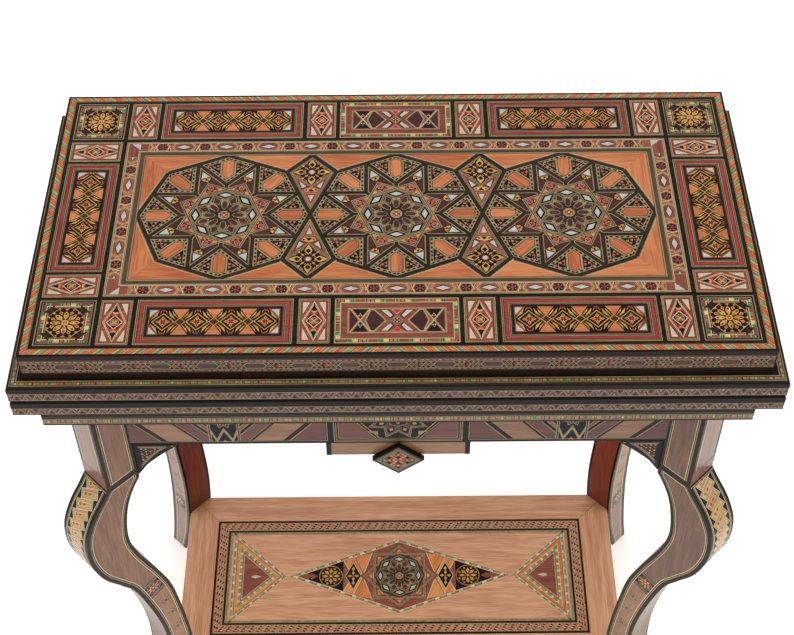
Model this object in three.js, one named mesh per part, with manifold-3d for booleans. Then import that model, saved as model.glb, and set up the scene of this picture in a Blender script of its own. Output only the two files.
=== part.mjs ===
// Folding games table: an inlaid box top that swivels and unfolds on a four-legged stand.
// Millimetres, +Z up, X along the length, the front faces -Y, the origin is under the middle on the floor.
import * as THREE from 'three';
import { mergeVertices } from 'three/addons/utils/BufferGeometryUtils.js';
import Module from 'manifold-3d';

const wasm = await Module();
wasm.setup();

// ---- Driving dimensions -------------------------------------------------------------------------
const HEIGHT = 785;              // floor to the top of the closed table
const TOP_LENGTH = 712;          // closed top, along X
const TOP_DEPTH = 372;           // closed top, along Y
const RIM_HEIGHT = 20.5;         // the wide rim of one leaf
const RIM_WIDTH = 34;
const SLAB_HEIGHT = 33.5;        // the narrower slab of one leaf
const SLAB_LENGTH = 680;
const SLAB_DEPTH = 350;
const LOWER_SLAB_INSET = 4.5;    // the lower slab is this much smaller on every side
const SLAB_WALL = 26;
const BOARD_THICKNESS = 10;      // structural board that closes a slab
const VENEER_THICKNESS = 1.5;
const PANEL_THICKNESS = 7;       // playing panel let into each rim
const PANEL_SINK = 3;            // playing surface below the seam
const BAIZE_THICKNESS = 1;
const RIM_ROUND = 2.5;           // rounded outer edges of the rims
const INLAY_DEPTH = 0.8;         // grooves that hold the inlaid bands of the rims
const UPPER_RIM_BAND = [2.7, 12.2]; // groove in a rim's side, above the rim's underside
const LOWER_RIM_BAND = [2.7, 11.4];
const LEDGE_BAND = [2.8, 9.2];   // groove in the ledge, in from the rim's side
const GAP = 0.3;                 // clearance between neighbouring pieces
const SEAM_GAP = 0.4;

const FRAME_HALF_X = 294;        // outer faces of the apron frame
const FRAME_HALF_Y = 138;
const APRON_THICKNESS = 20;
const APRON_HEIGHT = 77;
const DROP_LENGTH = 145;         // plain block under the middle of the long aprons
const DROP_HEIGHT = 20;
const PENDANT_WIDTH = 53;
const PENDANT_HEIGHT = 46;
const PENDANT_THICKNESS = 5;
const BRACKET_LENGTH = 44;
const BRACKET_HEIGHT = 51;
const BRACKET_THICKNESS = 12;
const BRACKET_TIP = 3;           // blunt end of a bracket
const WELL_FLOOR_THICKNESS = 6;
const WELL_FLOOR_RAISE = 2;      // the floor lies this far above the aprons' lower edge

const LEG_THICKNESS = 38.5;
const POST_DEPTH = 39;           // along the diagonal of the plan
const KNEE_TOP = 556;            // height where the straight post ends and the knee starts
const POST_INNER_DROP = 12;      // the post's inner face runs this much lower than its outer face

const SHELF_TOP = 118;
const SHELF_THICKNESS = 20;
const SHELF_HALF_X = 280;
const SHELF_HALF_Y = 124.5;
const SHELF_FRAME_WIDTH = 39;
const SHELF_PANEL_THICKNESS = 14;
const SHELF_CORNER_SUM = 380.6;  // the corners are cut along |x| + |y| = this

const HINGE_LENGTH = 60;
const HINGE_X = 230;             // middle of each hinge from the middle of the table
const HINGE_LEAF_WIDTH = 18;
const HINGE_LEAF_THICKNESS = 1.5;
const KNUCKLES = 5;
const KNUCKLE_RADIUS = 3;
const KNUCKLE_BORE = 1.6;
const PIN_RADIUS = 1.25;
const GROOVE_RADIUS = 3.4;

const PIVOT = TOP_DEPTH / 4;     // the swivel stands this far from both middle lines
const PIVOT_RAIL_WIDTH = 44;
const PIVOT_RAIL_THICKNESS = 16;
const BOLT_RADIUS = 4;
const BOLT_HOLE_RADIUS = 4.5;
const BOLT_HEAD_RADIUS = 11;
const BOLT_HEAD_HEIGHT = 4;
const BOLT_STANDOUT = 5;         // thread below the nut
const WASHER_RADIUS = 12;
const WASHER_THICKNESS = 1.5;
const NUT_RADIUS = 7.5;
const NUT_HEIGHT = 6;

// ---- Levels worked out from them ----------------------------------------------------------------
const LEAF_HEIGHT = RIM_HEIGHT + SLAB_HEIGHT;
const SEAM = HEIGHT - LEAF_HEIGHT;
const LOWER_BOTTOM = SEAM - LEAF_HEIGHT;
const FRAME_TOP = LOWER_BOTTOM - GAP;
const APRON_BOTTOM = FRAME_TOP - APRON_HEIGHT;
const HINGE_Y = TOP_DEPTH / 2 + SEAM_GAP / 2;
const DIAGONAL = Math.SQRT1_2;

// ---- Materials ----------------------------------------------------------------------------------
const finish = (color, roughness, metalness = 0) =>
  new THREE.MeshStandardMaterial({ color, roughness, metalness });
const ebony = () => finish('#2f2723', 0.35);
const walnut = () => finish('#8a6350', 0.4);
const salmonWood = () => finish('#b8724a', 0.4);
const mosaic = () => finish('#a3754c', 0.35);
const plainWood = () => finish('#c49a6a', 0.6);
const baize = () => finish('#2f6b45', 0.95);
const brass = () => finish('#b5913f', 0.3, 1);
const steel = () => finish('#8d8f92', 0.35, 1);

// ---- Making and cutting solids ------------------------------------------------------------------
function toSolid(geometry) {
  const bare = geometry.clone();
  bare.deleteAttribute('normal');
  bare.deleteAttribute('uv');
  const merged = mergeVertices(bare, 1e-4);
  return new wasm.Manifold(new wasm.Mesh({
    numProp: 3,
    vertProperties: new Float32Array(merged.attributes.position.array),
    triVerts: new Uint32Array(merged.index.array),
  }));
}

function fromSolid(solid) {
  const mesh = solid.getMesh();
  const positions = [];
  for (let vertex = 0; vertex < mesh.vertProperties.length; vertex += mesh.numProp) {
    positions.push(...mesh.vertProperties.slice(vertex, vertex + 3));
  }
  const geometry = new THREE.BufferGeometry();
  geometry.setAttribute('position', new THREE.Float32BufferAttribute(positions, 3));
  geometry.setIndex([...mesh.triVerts]);
  geometry.computeVertexNormals();
  return geometry;
}

const cut = (geometry, ...tools) =>
  fromSolid(tools.reduce((solid, tool) => solid.subtract(toSolid(tool)), toSolid(geometry)));
const join = (first, ...others) =>
  fromSolid(others.reduce((solid, other) => solid.add(toSolid(other)), toSolid(first)));

function block(low, high) {
  const size = high.map((value, axis) => value - low[axis]);
  const middle = high.map((value, axis) => (value + low[axis]) / 2);
  return new THREE.BoxGeometry(...size).translate(...middle);
}

function outline(points) {
  return new THREE.Shape(points.map(([x, y]) => new THREE.Vector2(x, y)));
}

// A flat plan outline raised from one height to another.
function plate(points, bottom, top) {
  const geometry = new THREE.ExtrudeGeometry(outline(points), { depth: top - bottom, bevelEnabled: false });
  return geometry.translate(0, 0, bottom);
}

function rod(radius, start, length, axis, sides = 16) {
  const geometry = new THREE.CylinderGeometry(radius, radius, length, sides);
  if (axis === 'x') {
    geometry.rotateZ(Math.PI / 2);
    return geometry.translate(start[0] + length / 2, start[1], start[2]);
  }
  geometry.rotateX(Math.PI / 2);
  return geometry.translate(start[0], start[1], start[2] + length / 2);
}

const table = new THREE.Group();

function add(name, geometry, material, parent = table) {
  const mesh = new THREE.Mesh(geometry, material);
  mesh.name = name;
  parent.add(mesh);
  return mesh;
}

// ---- One leaf of the top ------------------------------------------------------------------------
// A rim rail is a bar with its outer edges rounded and grooves for the inlay in its side and ledge.
function rimSection(height, side) {
  const [low, high] = side > 0 ? UPPER_RIM_BAND : LOWER_RIM_BAND;
  const [near, far] = LEDGE_BAND;
  const round = RIM_WIDTH - RIM_ROUND;
  const shape = new THREE.Shape();
  shape.moveTo(0, 0);
  shape.lineTo(round, 0);
  shape.absarc(round, RIM_ROUND, RIM_ROUND, -Math.PI / 2, 0, false);
  shape.lineTo(RIM_WIDTH, low);
  shape.lineTo(RIM_WIDTH - INLAY_DEPTH, low);
  shape.lineTo(RIM_WIDTH - INLAY_DEPTH, high);
  shape.lineTo(RIM_WIDTH, high);
  shape.absarc(round, height - RIM_ROUND, RIM_ROUND, 0, Math.PI / 2, false);
  if (side > 0) {
    shape.lineTo(RIM_WIDTH - near, height);
    shape.lineTo(RIM_WIDTH - near, height - INLAY_DEPTH);
    shape.lineTo(RIM_WIDTH - far, height - INLAY_DEPTH);
    shape.lineTo(RIM_WIDTH - far, height);
  }
  shape.lineTo(0, height);
  return shape;
}

function rimRail(length, side) {
  const height = RIM_HEIGHT - SEAM_GAP / 2 - GAP / 2;
  return new THREE.ExtrudeGeometry(rimSection(height, side), {
    depth: length,
    bevelEnabled: false,
    curveSegments: 4,
  });
}

// The upper leaf lies above the seam and the lower leaf is its mirror image below it.
function leafLevels(side) {
  const place = (near, far) => {
    const ends = [SEAM + side * near, SEAM + side * far];
    return [Math.min(...ends), Math.max(...ends)];
  };
  const panel = PANEL_SINK + BAIZE_THICKNESS + GAP;
  const boardTop = LEAF_HEIGHT - VENEER_THICKNESS - GAP;
  return {
    rim: place(SEAM_GAP / 2, RIM_HEIGHT - GAP / 2),
    panel: place(panel, panel + PANEL_THICKNESS),
    baize: place(PANEL_SINK, PANEL_SINK + BAIZE_THICKNESS),
    slab: place(RIM_HEIGHT + GAP / 2, boardTop - BOARD_THICKNESS - GAP),
    board: place(boardTop - BOARD_THICKNESS, boardTop),
    veneer: place(LEAF_HEIGHT - VENEER_THICKNESS, LEAF_HEIGHT),
  };
}

function hingeMortises(side) {
  const [bottom, top] = leafLevels(side).rim;
  const depth = HINGE_LEAF_THICKNESS + GAP;
  const low = side > 0 ? bottom - 1 : top - depth;
  const high = side > 0 ? bottom + depth : top + 1;
  return [-HINGE_X, HINGE_X].flatMap((x) => {
    const start = x - HINGE_LENGTH / 2 - GAP;
    const length = HINGE_LENGTH + 2 * GAP;
    const front = HINGE_Y - HINGE_LEAF_WIDTH - GAP;
    return [
      block([start, front, low], [start + length, HINGE_Y + 1, high]),
      rod(GROOVE_RADIUS, [start, HINGE_Y, SEAM], length, 'x', 20),
    ];
  });
}

// Two wedges that mitre both ends of a rail running along Y, with the mitres' tips at y = +-half.
function mitreTools(half, height) {
  const reach = RIM_WIDTH * 2;
  const wedge = outline([
    [-GAP, half - RIM_WIDTH - GAP],
    [reach, half - RIM_WIDTH + reach],
    [reach, half + reach],
    [-GAP, half + reach],
  ]);
  const options = { depth: height + 2, bevelEnabled: false };
  const far = new THREE.ExtrudeGeometry(wedge, options).translate(0, 0, -1);
  return [far, far.clone().rotateX(Math.PI).translate(0, 0, height)];
}

// A rail along Y, its rounded face towards +X and its inner face at x = 0, mitred at both ends.
function mitredRail(half, side) {
  const rail = rimRail(2 * half, side).rotateX(Math.PI / 2).translate(0, half, 0);
  return cut(rail, ...mitreTools(half, RIM_HEIGHT));
}

function addRim(name, side) {
  const halfX = TOP_LENGTH / 2;
  const halfY = TOP_DEPTH / 2;
  const [bottom] = leafLevels(side).rim;
  const end = mitredRail(halfY, side).translate(halfX - RIM_WIDTH, 0, bottom);
  const long = mitredRail(halfX, side).translate(halfY - RIM_WIDTH, 0, bottom);
  const back = long.clone().rotateZ(Math.PI / 2);
  add(`${name}_rim_front`, long.clone().rotateZ(-Math.PI / 2), ebony());
  add(`${name}_rim_back`, cut(back, ...hingeMortises(side)), ebony());
  add(`${name}_rim_left`, end.clone().rotateZ(Math.PI), ebony());
  add(`${name}_rim_right`, end, ebony());
}

function addLeaf(name, side) {
  const levels = leafLevels(side);
  const inset = side > 0 ? 0 : LOWER_SLAB_INSET;
  const slabX = SLAB_LENGTH / 2 - inset;
  const slabY = SLAB_DEPTH / 2 - inset;
  const panelX = TOP_LENGTH / 2 - RIM_WIDTH - GAP;
  const panelY = TOP_DEPTH / 2 - RIM_WIDTH - GAP;
  const spread = (halfX, halfY, level) => block([-halfX, -halfY, level[0]], [halfX, halfY, level[1]]);
  addRim(name, side);
  add(`${name}_playing_panel`, spread(panelX, panelY, levels.panel), plainWood());
  add(`${name}_baize`, spread(panelX - GAP, panelY - GAP, levels.baize), baize());
  const inside = spread(slabX - SLAB_WALL, slabY - SLAB_WALL, [levels.slab[0] - 1, levels.slab[1] + 1]);
  add(`${name}_slab_frame`, cut(spread(slabX, slabY, levels.slab), inside), mosaic());
  const board = spread(slabX, slabY, levels.board);
  if (side > 0) {
    add(`${name}_slab_board`, board, plainWood());
    add(`${name}_inlaid_veneer`, spread(slabX, slabY, levels.veneer), mosaic());
  } else {
    const fullBoard = spread(slabX, slabY, [LOWER_BOTTOM, levels.board[1]]);
    const hole = rod(BOLT_HOLE_RADIUS, [PIVOT, PIVOT, LOWER_BOTTOM - 1], BOARD_THICKNESS * 2, 'z');
    add(`${name}_slab_board`, cut(fullBoard, hole), ebony());
  }
}

// ---- Hinges between the leaves ------------------------------------------------------------------
function hingeLeaf(x, side) {
  const pitch = HINGE_LENGTH / KNUCKLES;
  const [bottom, top] = leafLevels(side).rim;
  const plateLow = side > 0 ? bottom : top - HINGE_LEAF_THICKNESS;
  const start = x - HINGE_LENGTH / 2;
  const clear = KNUCKLE_RADIUS + GAP;
  const flat = block(
    [start, HINGE_Y - HINGE_LEAF_WIDTH, plateLow],
    [start + HINGE_LENGTH, HINGE_Y - clear, plateLow + HINGE_LEAF_THICKNESS],
  );
  const firstKnuckle = side > 0 ? 1 : 0;
  let body = flat;
  for (let knuckle = firstKnuckle; knuckle < KNUCKLES; knuckle += 2) {
    const from = start + knuckle * pitch + GAP / 2;
    const length = pitch - GAP;
    const web = block(
      [from, HINGE_Y - clear - 1, plateLow],
      [from + length, HINGE_Y, plateLow + HINGE_LEAF_THICKNESS],
    );
    body = join(body, web, rod(KNUCKLE_RADIUS, [from, HINGE_Y, SEAM], length, 'x'));
  }
  return cut(body, rod(KNUCKLE_BORE, [start - 1, HINGE_Y, SEAM], HINGE_LENGTH + 2, 'x'));
}

function addHinges() {
  for (const [place, x] of [['left', -HINGE_X], ['right', HINGE_X]]) {
    add(`${place}_hinge_upper_leaf`, hingeLeaf(x, 1), brass());
    add(`${place}_hinge_lower_leaf`, hingeLeaf(x, -1), brass());
    const pin = rod(PIN_RADIUS, [x - HINGE_LENGTH / 2, HINGE_Y, SEAM], HINGE_LENGTH, 'x');
    add(`${place}_hinge_pin`, pin, steel());
  }
}

// ---- Apron frame --------------------------------------------------------------------------------
// The post's inner face crosses the plan along |x| + |y| = this sum.
const POST_INNER_SUM = FRAME_HALF_X + FRAME_HALF_Y - POST_DEPTH * DIAGONAL;

// Plan of one apron that runs along X: bevelled against the posts, then mitred to its neighbour.
function apronPlan(along, across) {
  const sum = POST_INNER_SUM - GAP;
  const inner = across - APRON_THICKNESS;
  const innerEnd = along - APRON_THICKNESS - GAP;
  const mitre = (sum - innerEnd - inner) / 2;
  const half = [
    [sum - across, -across],
    [innerEnd + mitre, -inner - mitre],
    [innerEnd, -inner],
  ];
  return [...half.map(([x, y]) => [-x, y]), ...half.reverse()];
}

// A bracket fills the corner under an apron, bevelled against the post at its low-x end.
function addBracket(name, turn, along, across, flip) {
  const high = APRON_BOTTOM - GAP;
  const low = high - BRACKET_HEIGHT;
  const bend = [BRACKET_LENGTH * 0.16, high - BRACKET_HEIGHT * 0.66];
  const shape = new THREE.Shape();
  shape.moveTo(0, high);
  shape.lineTo(0, low);
  shape.quadraticCurveTo(...bend, BRACKET_LENGTH, high - BRACKET_TIP);
  shape.lineTo(BRACKET_LENGTH, high);
  const geometry = new THREE.ExtrudeGeometry(shape, {
    depth: BRACKET_THICKNESS,
    bevelEnabled: false,
    curveSegments: 6,
  });
  geometry.rotateX(Math.PI / 2);
  const position = geometry.attributes.position;
  for (let i = 0; i < position.count; i += 1) {
    const depth = -position.getY(i);
    const y = -across + BRACKET_THICKNESS - depth;
    const edge = -(POST_INNER_SUM - GAP + y);
    const isPostSide = position.getX(i) < 1e-6;
    const x = isPostSide ? edge : position.getX(i) - (POST_INNER_SUM - across);
    position.setXYZ(i, x, y, position.getZ(i));
  }
  const cleaned = fromSolid(toSolid(geometry));
  const placed = flip ? mirrored(cleaned) : cleaned;
  add(name, placed.rotateZ(turn), mosaic());
}

// Mirror across the YZ plane, with the windings turned so the faces still look outwards.
function mirrored(geometry) {
  const copy = geometry.clone().scale(-1, 1, 1);
  const index = copy.index.array;
  for (let i = 0; i < index.length; i += 3) {
    [index[i], index[i + 1]] = [index[i + 1], index[i]];
  }
  copy.computeVertexNormals();
  return copy;
}

const SIDES = [
  { name: 'front', turn: 0, along: FRAME_HALF_X, across: FRAME_HALF_Y },
  { name: 'right', turn: Math.PI / 2, along: FRAME_HALF_Y, across: FRAME_HALF_X },
  { name: 'back', turn: Math.PI, along: FRAME_HALF_X, across: FRAME_HALF_Y },
  { name: 'left', turn: -Math.PI / 2, along: FRAME_HALF_Y, across: FRAME_HALF_X },
];

function addApronFrame() {
  for (const { name, turn, along, across } of SIDES) {
    const apron = plate(apronPlan(along, across), APRON_BOTTOM, FRAME_TOP).rotateZ(turn);
    add(`${name}_apron`, apron, mosaic());
    addBracket(`${name}_bracket_a`, turn, along, across, false);
    addBracket(`${name}_bracket_b`, turn, along, across, true);
  }
  for (const { name, turn } of SIDES.filter((side) => side.along === FRAME_HALF_X)) {
    const high = APRON_BOTTOM - GAP;
    const faceY = -FRAME_HALF_Y;
    const drop = block(
      [-DROP_LENGTH / 2, faceY, high - DROP_HEIGHT],
      [DROP_LENGTH / 2, faceY + APRON_THICKNESS - 2, high],
    );
    add(`${name}_drop_block`, drop.rotateZ(turn), salmonWood());
    const middle = high + 1 - PENDANT_HEIGHT / 2;
    const diamond = outline([
      [0, middle + PENDANT_HEIGHT / 2],
      [-PENDANT_WIDTH / 2, middle],
      [0, middle - PENDANT_HEIGHT / 2],
      [PENDANT_WIDTH / 2, middle],
    ]);
    const pendant = new THREE.ExtrudeGeometry(diamond, { depth: PENDANT_THICKNESS, bevelEnabled: false });
    pendant.rotateX(Math.PI / 2).translate(0, faceY - GAP, 0);
    add(`${name}_pendant`, pendant.rotateZ(turn), mosaic());
  }
}

// The storage well under the top, and the rail that carries the swivel.
function addWellAndPivot() {
  const insideX = FRAME_HALF_X - APRON_THICKNESS - GAP;
  const insideY = FRAME_HALF_Y - APRON_THICKNESS - GAP;
  const floorBottom = APRON_BOTTOM + WELL_FLOOR_RAISE;
  const floor = block(
    [-insideX, -insideY, floorBottom],
    [insideX, insideY, floorBottom + WELL_FLOOR_THICKNESS],
  );
  add('well_floor', floor, plainWood());

  const railBottom = FRAME_TOP - PIVOT_RAIL_THICKNESS;
  const rail = block(
    [PIVOT - PIVOT_RAIL_WIDTH / 2, -insideY, railBottom],
    [PIVOT + PIVOT_RAIL_WIDTH / 2, insideY, FRAME_TOP],
  );
  const hole = rod(BOLT_HOLE_RADIUS, [PIVOT, PIVOT, railBottom - 1], PIVOT_RAIL_THICKNESS + 2, 'z');
  add('pivot_rail', cut(rail, hole), plainWood());

  const boardTop = leafLevels(-1).board[1];
  const washerTop = railBottom - GAP;
  const washerBottom = washerTop - WASHER_THICKNESS;
  const nutBottom = washerBottom - GAP - NUT_HEIGHT;
  const shankBottom = nutBottom - BOLT_STANDOUT;
  const headBottom = boardTop + GAP;
  const shank = rod(BOLT_RADIUS, [PIVOT, PIVOT, shankBottom], headBottom + 1 - shankBottom, 'z');
  const head = rod(BOLT_HEAD_RADIUS, [PIVOT, PIVOT, headBottom], BOLT_HEAD_HEIGHT, 'z', 24);
  add('pivot_bolt', join(shank, head), steel());
  const bore = rod(BOLT_HOLE_RADIUS, [PIVOT, PIVOT, nutBottom - 1], railBottom - nutBottom + 1, 'z');
  const washer = rod(WASHER_RADIUS, [PIVOT, PIVOT, washerBottom], WASHER_THICKNESS, 'z', 24);
  add('pivot_washer', cut(washer, bore), steel());
  const nut = rod(NUT_RADIUS, [PIVOT, PIVOT, nutBottom], NUT_HEIGHT, 'z', 6);
  add('pivot_nut', cut(nut, bore), steel());
}

// ---- Legs ---------------------------------------------------------------------------------------
// Side outline of a leg: distance outwards from the post's outer edge, and height above the floor.
function legOutline() {
  const point = (x, y) => new THREE.Vector2(x, y);
  const shape = new THREE.Shape();
  const top = FRAME_TOP;
  shape.moveTo(-POST_DEPTH, top);
  shape.lineTo(-POST_DEPTH, KNEE_TOP - POST_INNER_DROP);
  shape.splineThru([
    point(-29, 532), point(-19, 513), point(-12, 484), point(-10.5, 456), point(-16, 427),
    point(-26, 395), point(-37, 362), point(-48, 321), point(-54.5, 268), point(-59, 215),
    point(-60, 175), point(-55.5, 118), point(-45, 60), point(-28, 0),
  ]);
  shape.lineTo(-2, 0);
  shape.splineThru([
    point(-12, 50), point(-21, 111), point(-26.5, 165), point(-27.5, 225), point(-19.5, 285),
    point(-2.8, 356), point(12, 388), point(28.5, 419), point(37.5, 449), point(40.5, 475),
    point(38, 499), point(32, 515), point(22, 531), point(10, 544), point(0, KNEE_TOP),
  ]);
  shape.lineTo(0, top);
  return shape;
}

function addLegs() {
  const blank = new THREE.ExtrudeGeometry(legOutline(), {
    depth: LEG_THICKNESS,
    bevelEnabled: false,
    curveSegments: 3,
  });
  blank.translate(POST_DEPTH / 2, 0, -LEG_THICKNESS / 2);
  const corners = [
    ['front_left', -1, -1],
    ['front_right', 1, -1],
    ['back_left', -1, 1],
    ['back_right', 1, 1],
  ];
  for (const [name, sx, sy] of corners) {
    const outwards = new THREE.Vector3(sx, sy, 0).normalize();
    const up = new THREE.Vector3(0, 0, 1);
    const across = new THREE.Vector3().crossVectors(outwards, up);
    const place = new THREE.Matrix4().makeBasis(outwards, up, across);
    place.setPosition(sx * FRAME_HALF_X, sy * FRAME_HALF_Y, 0);
    add(`${name}_leg`, blank.clone().applyMatrix4(place), walnut());
  }
}

// ---- Shelf --------------------------------------------------------------------------------------
function addShelf() {
  const bottom = SHELF_TOP - SHELF_THICKNESS;
  const innerX = SHELF_HALF_X - SHELF_FRAME_WIDTH;
  const innerY = SHELF_HALF_Y - SHELF_FRAME_WIDTH;
  const halfGap = GAP / 2;
  const mitre = (SHELF_CORNER_SUM - innerX - innerY) / 2;
  const longHalf = [
    [innerX - halfGap, -innerY],
    [innerX + mitre - halfGap, -innerY - mitre - halfGap],
    [SHELF_CORNER_SUM - SHELF_HALF_Y - GAP, -SHELF_HALF_Y],
  ];
  const longPlan = [...longHalf.map(([x, y]) => [-x, y]), ...[...longHalf].reverse()];
  const shortHalf = [
    [innerX, innerY - halfGap],
    [innerX + mitre + halfGap, innerY + mitre - halfGap],
    [SHELF_HALF_X, SHELF_CORNER_SUM - SHELF_HALF_X - GAP],
  ];
  const shortPlan = [...[...shortHalf].reverse(), ...shortHalf.map(([x, y]) => [x, -y])];
  const rails = [
    ['front', longPlan, 0],
    ['back', longPlan, Math.PI],
    ['right', shortPlan, 0],
    ['left', shortPlan, Math.PI],
  ];
  for (const [name, plan, turn] of rails) {
    add(`shelf_${name}_rail`, plate(plan, bottom, SHELF_TOP).rotateZ(turn), salmonWood());
  }
  const panel = block(
    [GAP - innerX, GAP - innerY, SHELF_TOP - SHELF_PANEL_THICKNESS],
    [innerX - GAP, innerY - GAP, SHELF_TOP],
  );
  add('shelf_inlaid_panel', panel, mosaic());
}

addLeaf('upper', 1);
addLeaf('lower', -1);
addHinges();
addApronFrame();
addWellAndPivot();
addLegs();
addShelf();

export default table;
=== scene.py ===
import math
import random

import bmesh
import bpy
from mathutils import Matrix, Vector
from mathutils.geometry import delaunay_2d_cdt


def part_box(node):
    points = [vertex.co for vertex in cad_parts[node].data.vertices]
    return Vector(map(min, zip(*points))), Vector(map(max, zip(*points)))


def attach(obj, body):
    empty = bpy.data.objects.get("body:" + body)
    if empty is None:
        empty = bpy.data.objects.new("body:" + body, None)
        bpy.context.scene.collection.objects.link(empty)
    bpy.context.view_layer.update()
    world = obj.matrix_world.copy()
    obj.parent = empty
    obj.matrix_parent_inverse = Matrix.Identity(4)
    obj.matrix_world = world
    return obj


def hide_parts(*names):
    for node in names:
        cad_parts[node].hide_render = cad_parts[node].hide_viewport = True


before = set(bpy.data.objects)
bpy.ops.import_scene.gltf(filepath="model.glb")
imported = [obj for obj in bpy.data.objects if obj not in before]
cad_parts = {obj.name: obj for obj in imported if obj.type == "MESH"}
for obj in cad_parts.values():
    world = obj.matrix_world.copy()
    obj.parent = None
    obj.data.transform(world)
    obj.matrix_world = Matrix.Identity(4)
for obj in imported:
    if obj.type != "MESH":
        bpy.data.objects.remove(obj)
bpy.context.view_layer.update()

chance = random.Random(11)

MM = 0.001
SEAT = 0.02          # the glue line between a veneer and what it lies on
JOINT = 0.04         # half the hairline between neighbouring veneers
STRAP = 2.2          # half the dark strap that runs between the big fields of the top
LINE = 0.8           # a light string line
BACKING = "ebony"    # the wood on a veneer's back and edges
SIDES = {"front": 0, "right": 90, "back": 180, "left": 270}


def cad(node):
    """A CAD node's lowest and highest corners, in millimetres."""
    low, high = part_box(node)
    return low / MM, high / MM


# ---- Materials ------------------------------------------------------------------------------------
WOODS = {
    "ebony": ("#100b08", "#271d17"),
    "night": ("#0b0b11", "#191a24"),
    "strap": ("#221913", "#3a2d23"),
    "olive": ("#382d1b", "#55452d"),
    "khaki": ("#84704a", "#b09a6e"),
    "cream": ("#cbb682", "#e9dab0"),
    "straw": ("#c19a58", "#e6c688"),
    "salmon": ("#ad562e", "#d58753"),
    "orange": ("#c4682c", "#e39c58"),
    "gold": ("#b9802f", "#e0b35e"),
    "maroon": ("#2f0f0e", "#4f1d1b"),
    "brick": ("#6f2f22", "#9c5440"),
    "red": ("#861a1a", "#b8332e"),
    "rose": ("#b44d42", "#dc8070"),
    "green": ("#2f7d48", "#63b27c"),
    "walnut": ("#623c29", "#966748"),
    "tan": ("#8a5f42", "#b3835c"),
    # cherry is lighter than the shelf's own wood: painted light that lifts the shelf out of the shade cast
    # by the top
    "cherry": ("#c08560", "#e9b48c"),
    "plum": ("#4c1b16", "#7c3a2f"),
    "mahogany": ("#4e170f", "#8a3421"),
    "beech": ("#a87f55", "#d2ab7c"),
}
DARK_WOODS = ("ebony", "night", "strap")
GRAIN_AXES = {"x": 0, "y": 1, "z": 2}


def colour(text):
    """A linear colour from #rrggbb."""
    parts = [int(text[i:i + 2], 16) / 255 for i in (1, 3, 5)]
    return [p / 12.92 if p < 0.04045 else ((p + 0.055) / 1.055) ** 2.4 for p in parts] + [1.0]


class Nodes:
    """One material's node tree, built with short calls."""

    def __init__(self, name):
        self.material = bpy.data.materials.new(name)
        self.material.use_nodes = True
        self.tree = self.material.node_tree
        self.shader = self.tree.nodes["Principled BSDF"]

    def add(self, kind, inputs, **settings):
        node = self.tree.nodes.new(kind)
        for key, value in settings.items():
            setattr(node, key, value)
        self.feed(node, inputs)
        return node

    def feed(self, node, inputs):
        for key, value in inputs.items():
            if isinstance(value, bpy.types.NodeSocket):
                self.tree.links.new(value, node.inputs[key])
            else:
                node.inputs[key].default_value = value

    def math(self, operation, first, second):
        return self.add("ShaderNodeMath", {0: first, 1: second}, operation=operation).outputs[0]

    def noise(self, vector, scale, detail=3.0, distortion=0.0):
        inputs = {"Vector": vector, "Scale": scale, "Detail": detail, "Distortion": distortion}
        return self.add("ShaderNodeTexNoise", inputs).outputs["Fac"]

    def stretch(self, vector, scale):
        return self.add("ShaderNodeMapping", {"Vector": vector, "Scale": scale}).outputs["Vector"]

    def remap(self, value, low, high, to_low, to_high):
        inputs = {"Value": value, "From Min": low, "From Max": high, "To Min": to_low, "To Max": to_high}
        return self.add("ShaderNodeMapRange", inputs).outputs["Result"]

    def blend(self, factor, first, second):
        node = self.add("ShaderNodeMix", {"Factor": factor}, data_type="RGBA")
        self.feed(node, {6: first, 7: second})
        return node.outputs[2]

    def bump(self, height, strength, distance):
        inputs = {"Height": height, "Strength": strength, "Distance": distance}
        return self.add("ShaderNodeBump", inputs).outputs["Normal"]


def wood_material(name):
    """Lacquered wood. A veneer takes its grain from the mesh; name_x, _y or _z runs along an axis."""
    base, _, axis = name.partition("_")
    n = Nodes(name)
    if axis:
        place = n.add("ShaderNodeTexCoord", {}).outputs["Object"]
        scale = [1000.0] * 3
        scale[GRAIN_AXES[axis]] = 1000.0 / 24
        along = n.stretch(place, scale)
        broad = n.stretch(place, [s / 7 for s in scale])
    else:
        place = n.add("ShaderNodeAttribute", {}, attribute_name="grain").outputs["Vector"]
        along = n.stretch(place, (1 / 24, 1.0, 1.0))
        broad = n.stretch(place, (1 / 60, 1 / 6, 1.0))
    tone = n.add("ShaderNodeAttribute", {}, attribute_name="tone").outputs["Fac"]
    fibre = n.noise(along, 0.9, detail=5.0, distortion=0.25)
    figure = n.noise(broad, 1.0, detail=2.0, distortion=0.8)
    mixed = n.math("ADD", n.math("MULTIPLY", fibre, 0.55), n.math("MULTIPLY", figure, 0.45))
    shaded = n.math("ADD", n.remap(mixed, 0.36, 0.64, 0.0, 1.0), n.math("MULTIPLY", tone, 0.3))
    dark, light = (colour(c) for c in WOODS[base])
    clamped = n.remap(shaded, 0.0, 1.0, 0.0, 1.0)
    n.feed(n.shader, {
        "Base Color": n.blend(clamped, dark, light),
        "Roughness": n.remap(fibre, 0.3, 0.7, 0.3, 0.42),
        "Normal": n.bump(fibre, 0.12, 0.0002),
        "Coat Weight": 0.05 if base in DARK_WOODS else 0.3,
        "Coat Roughness": 0.1,
        "Specular IOR Level": 0.12 if base in DARK_WOODS else 0.3,
    })
    return n.material


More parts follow.
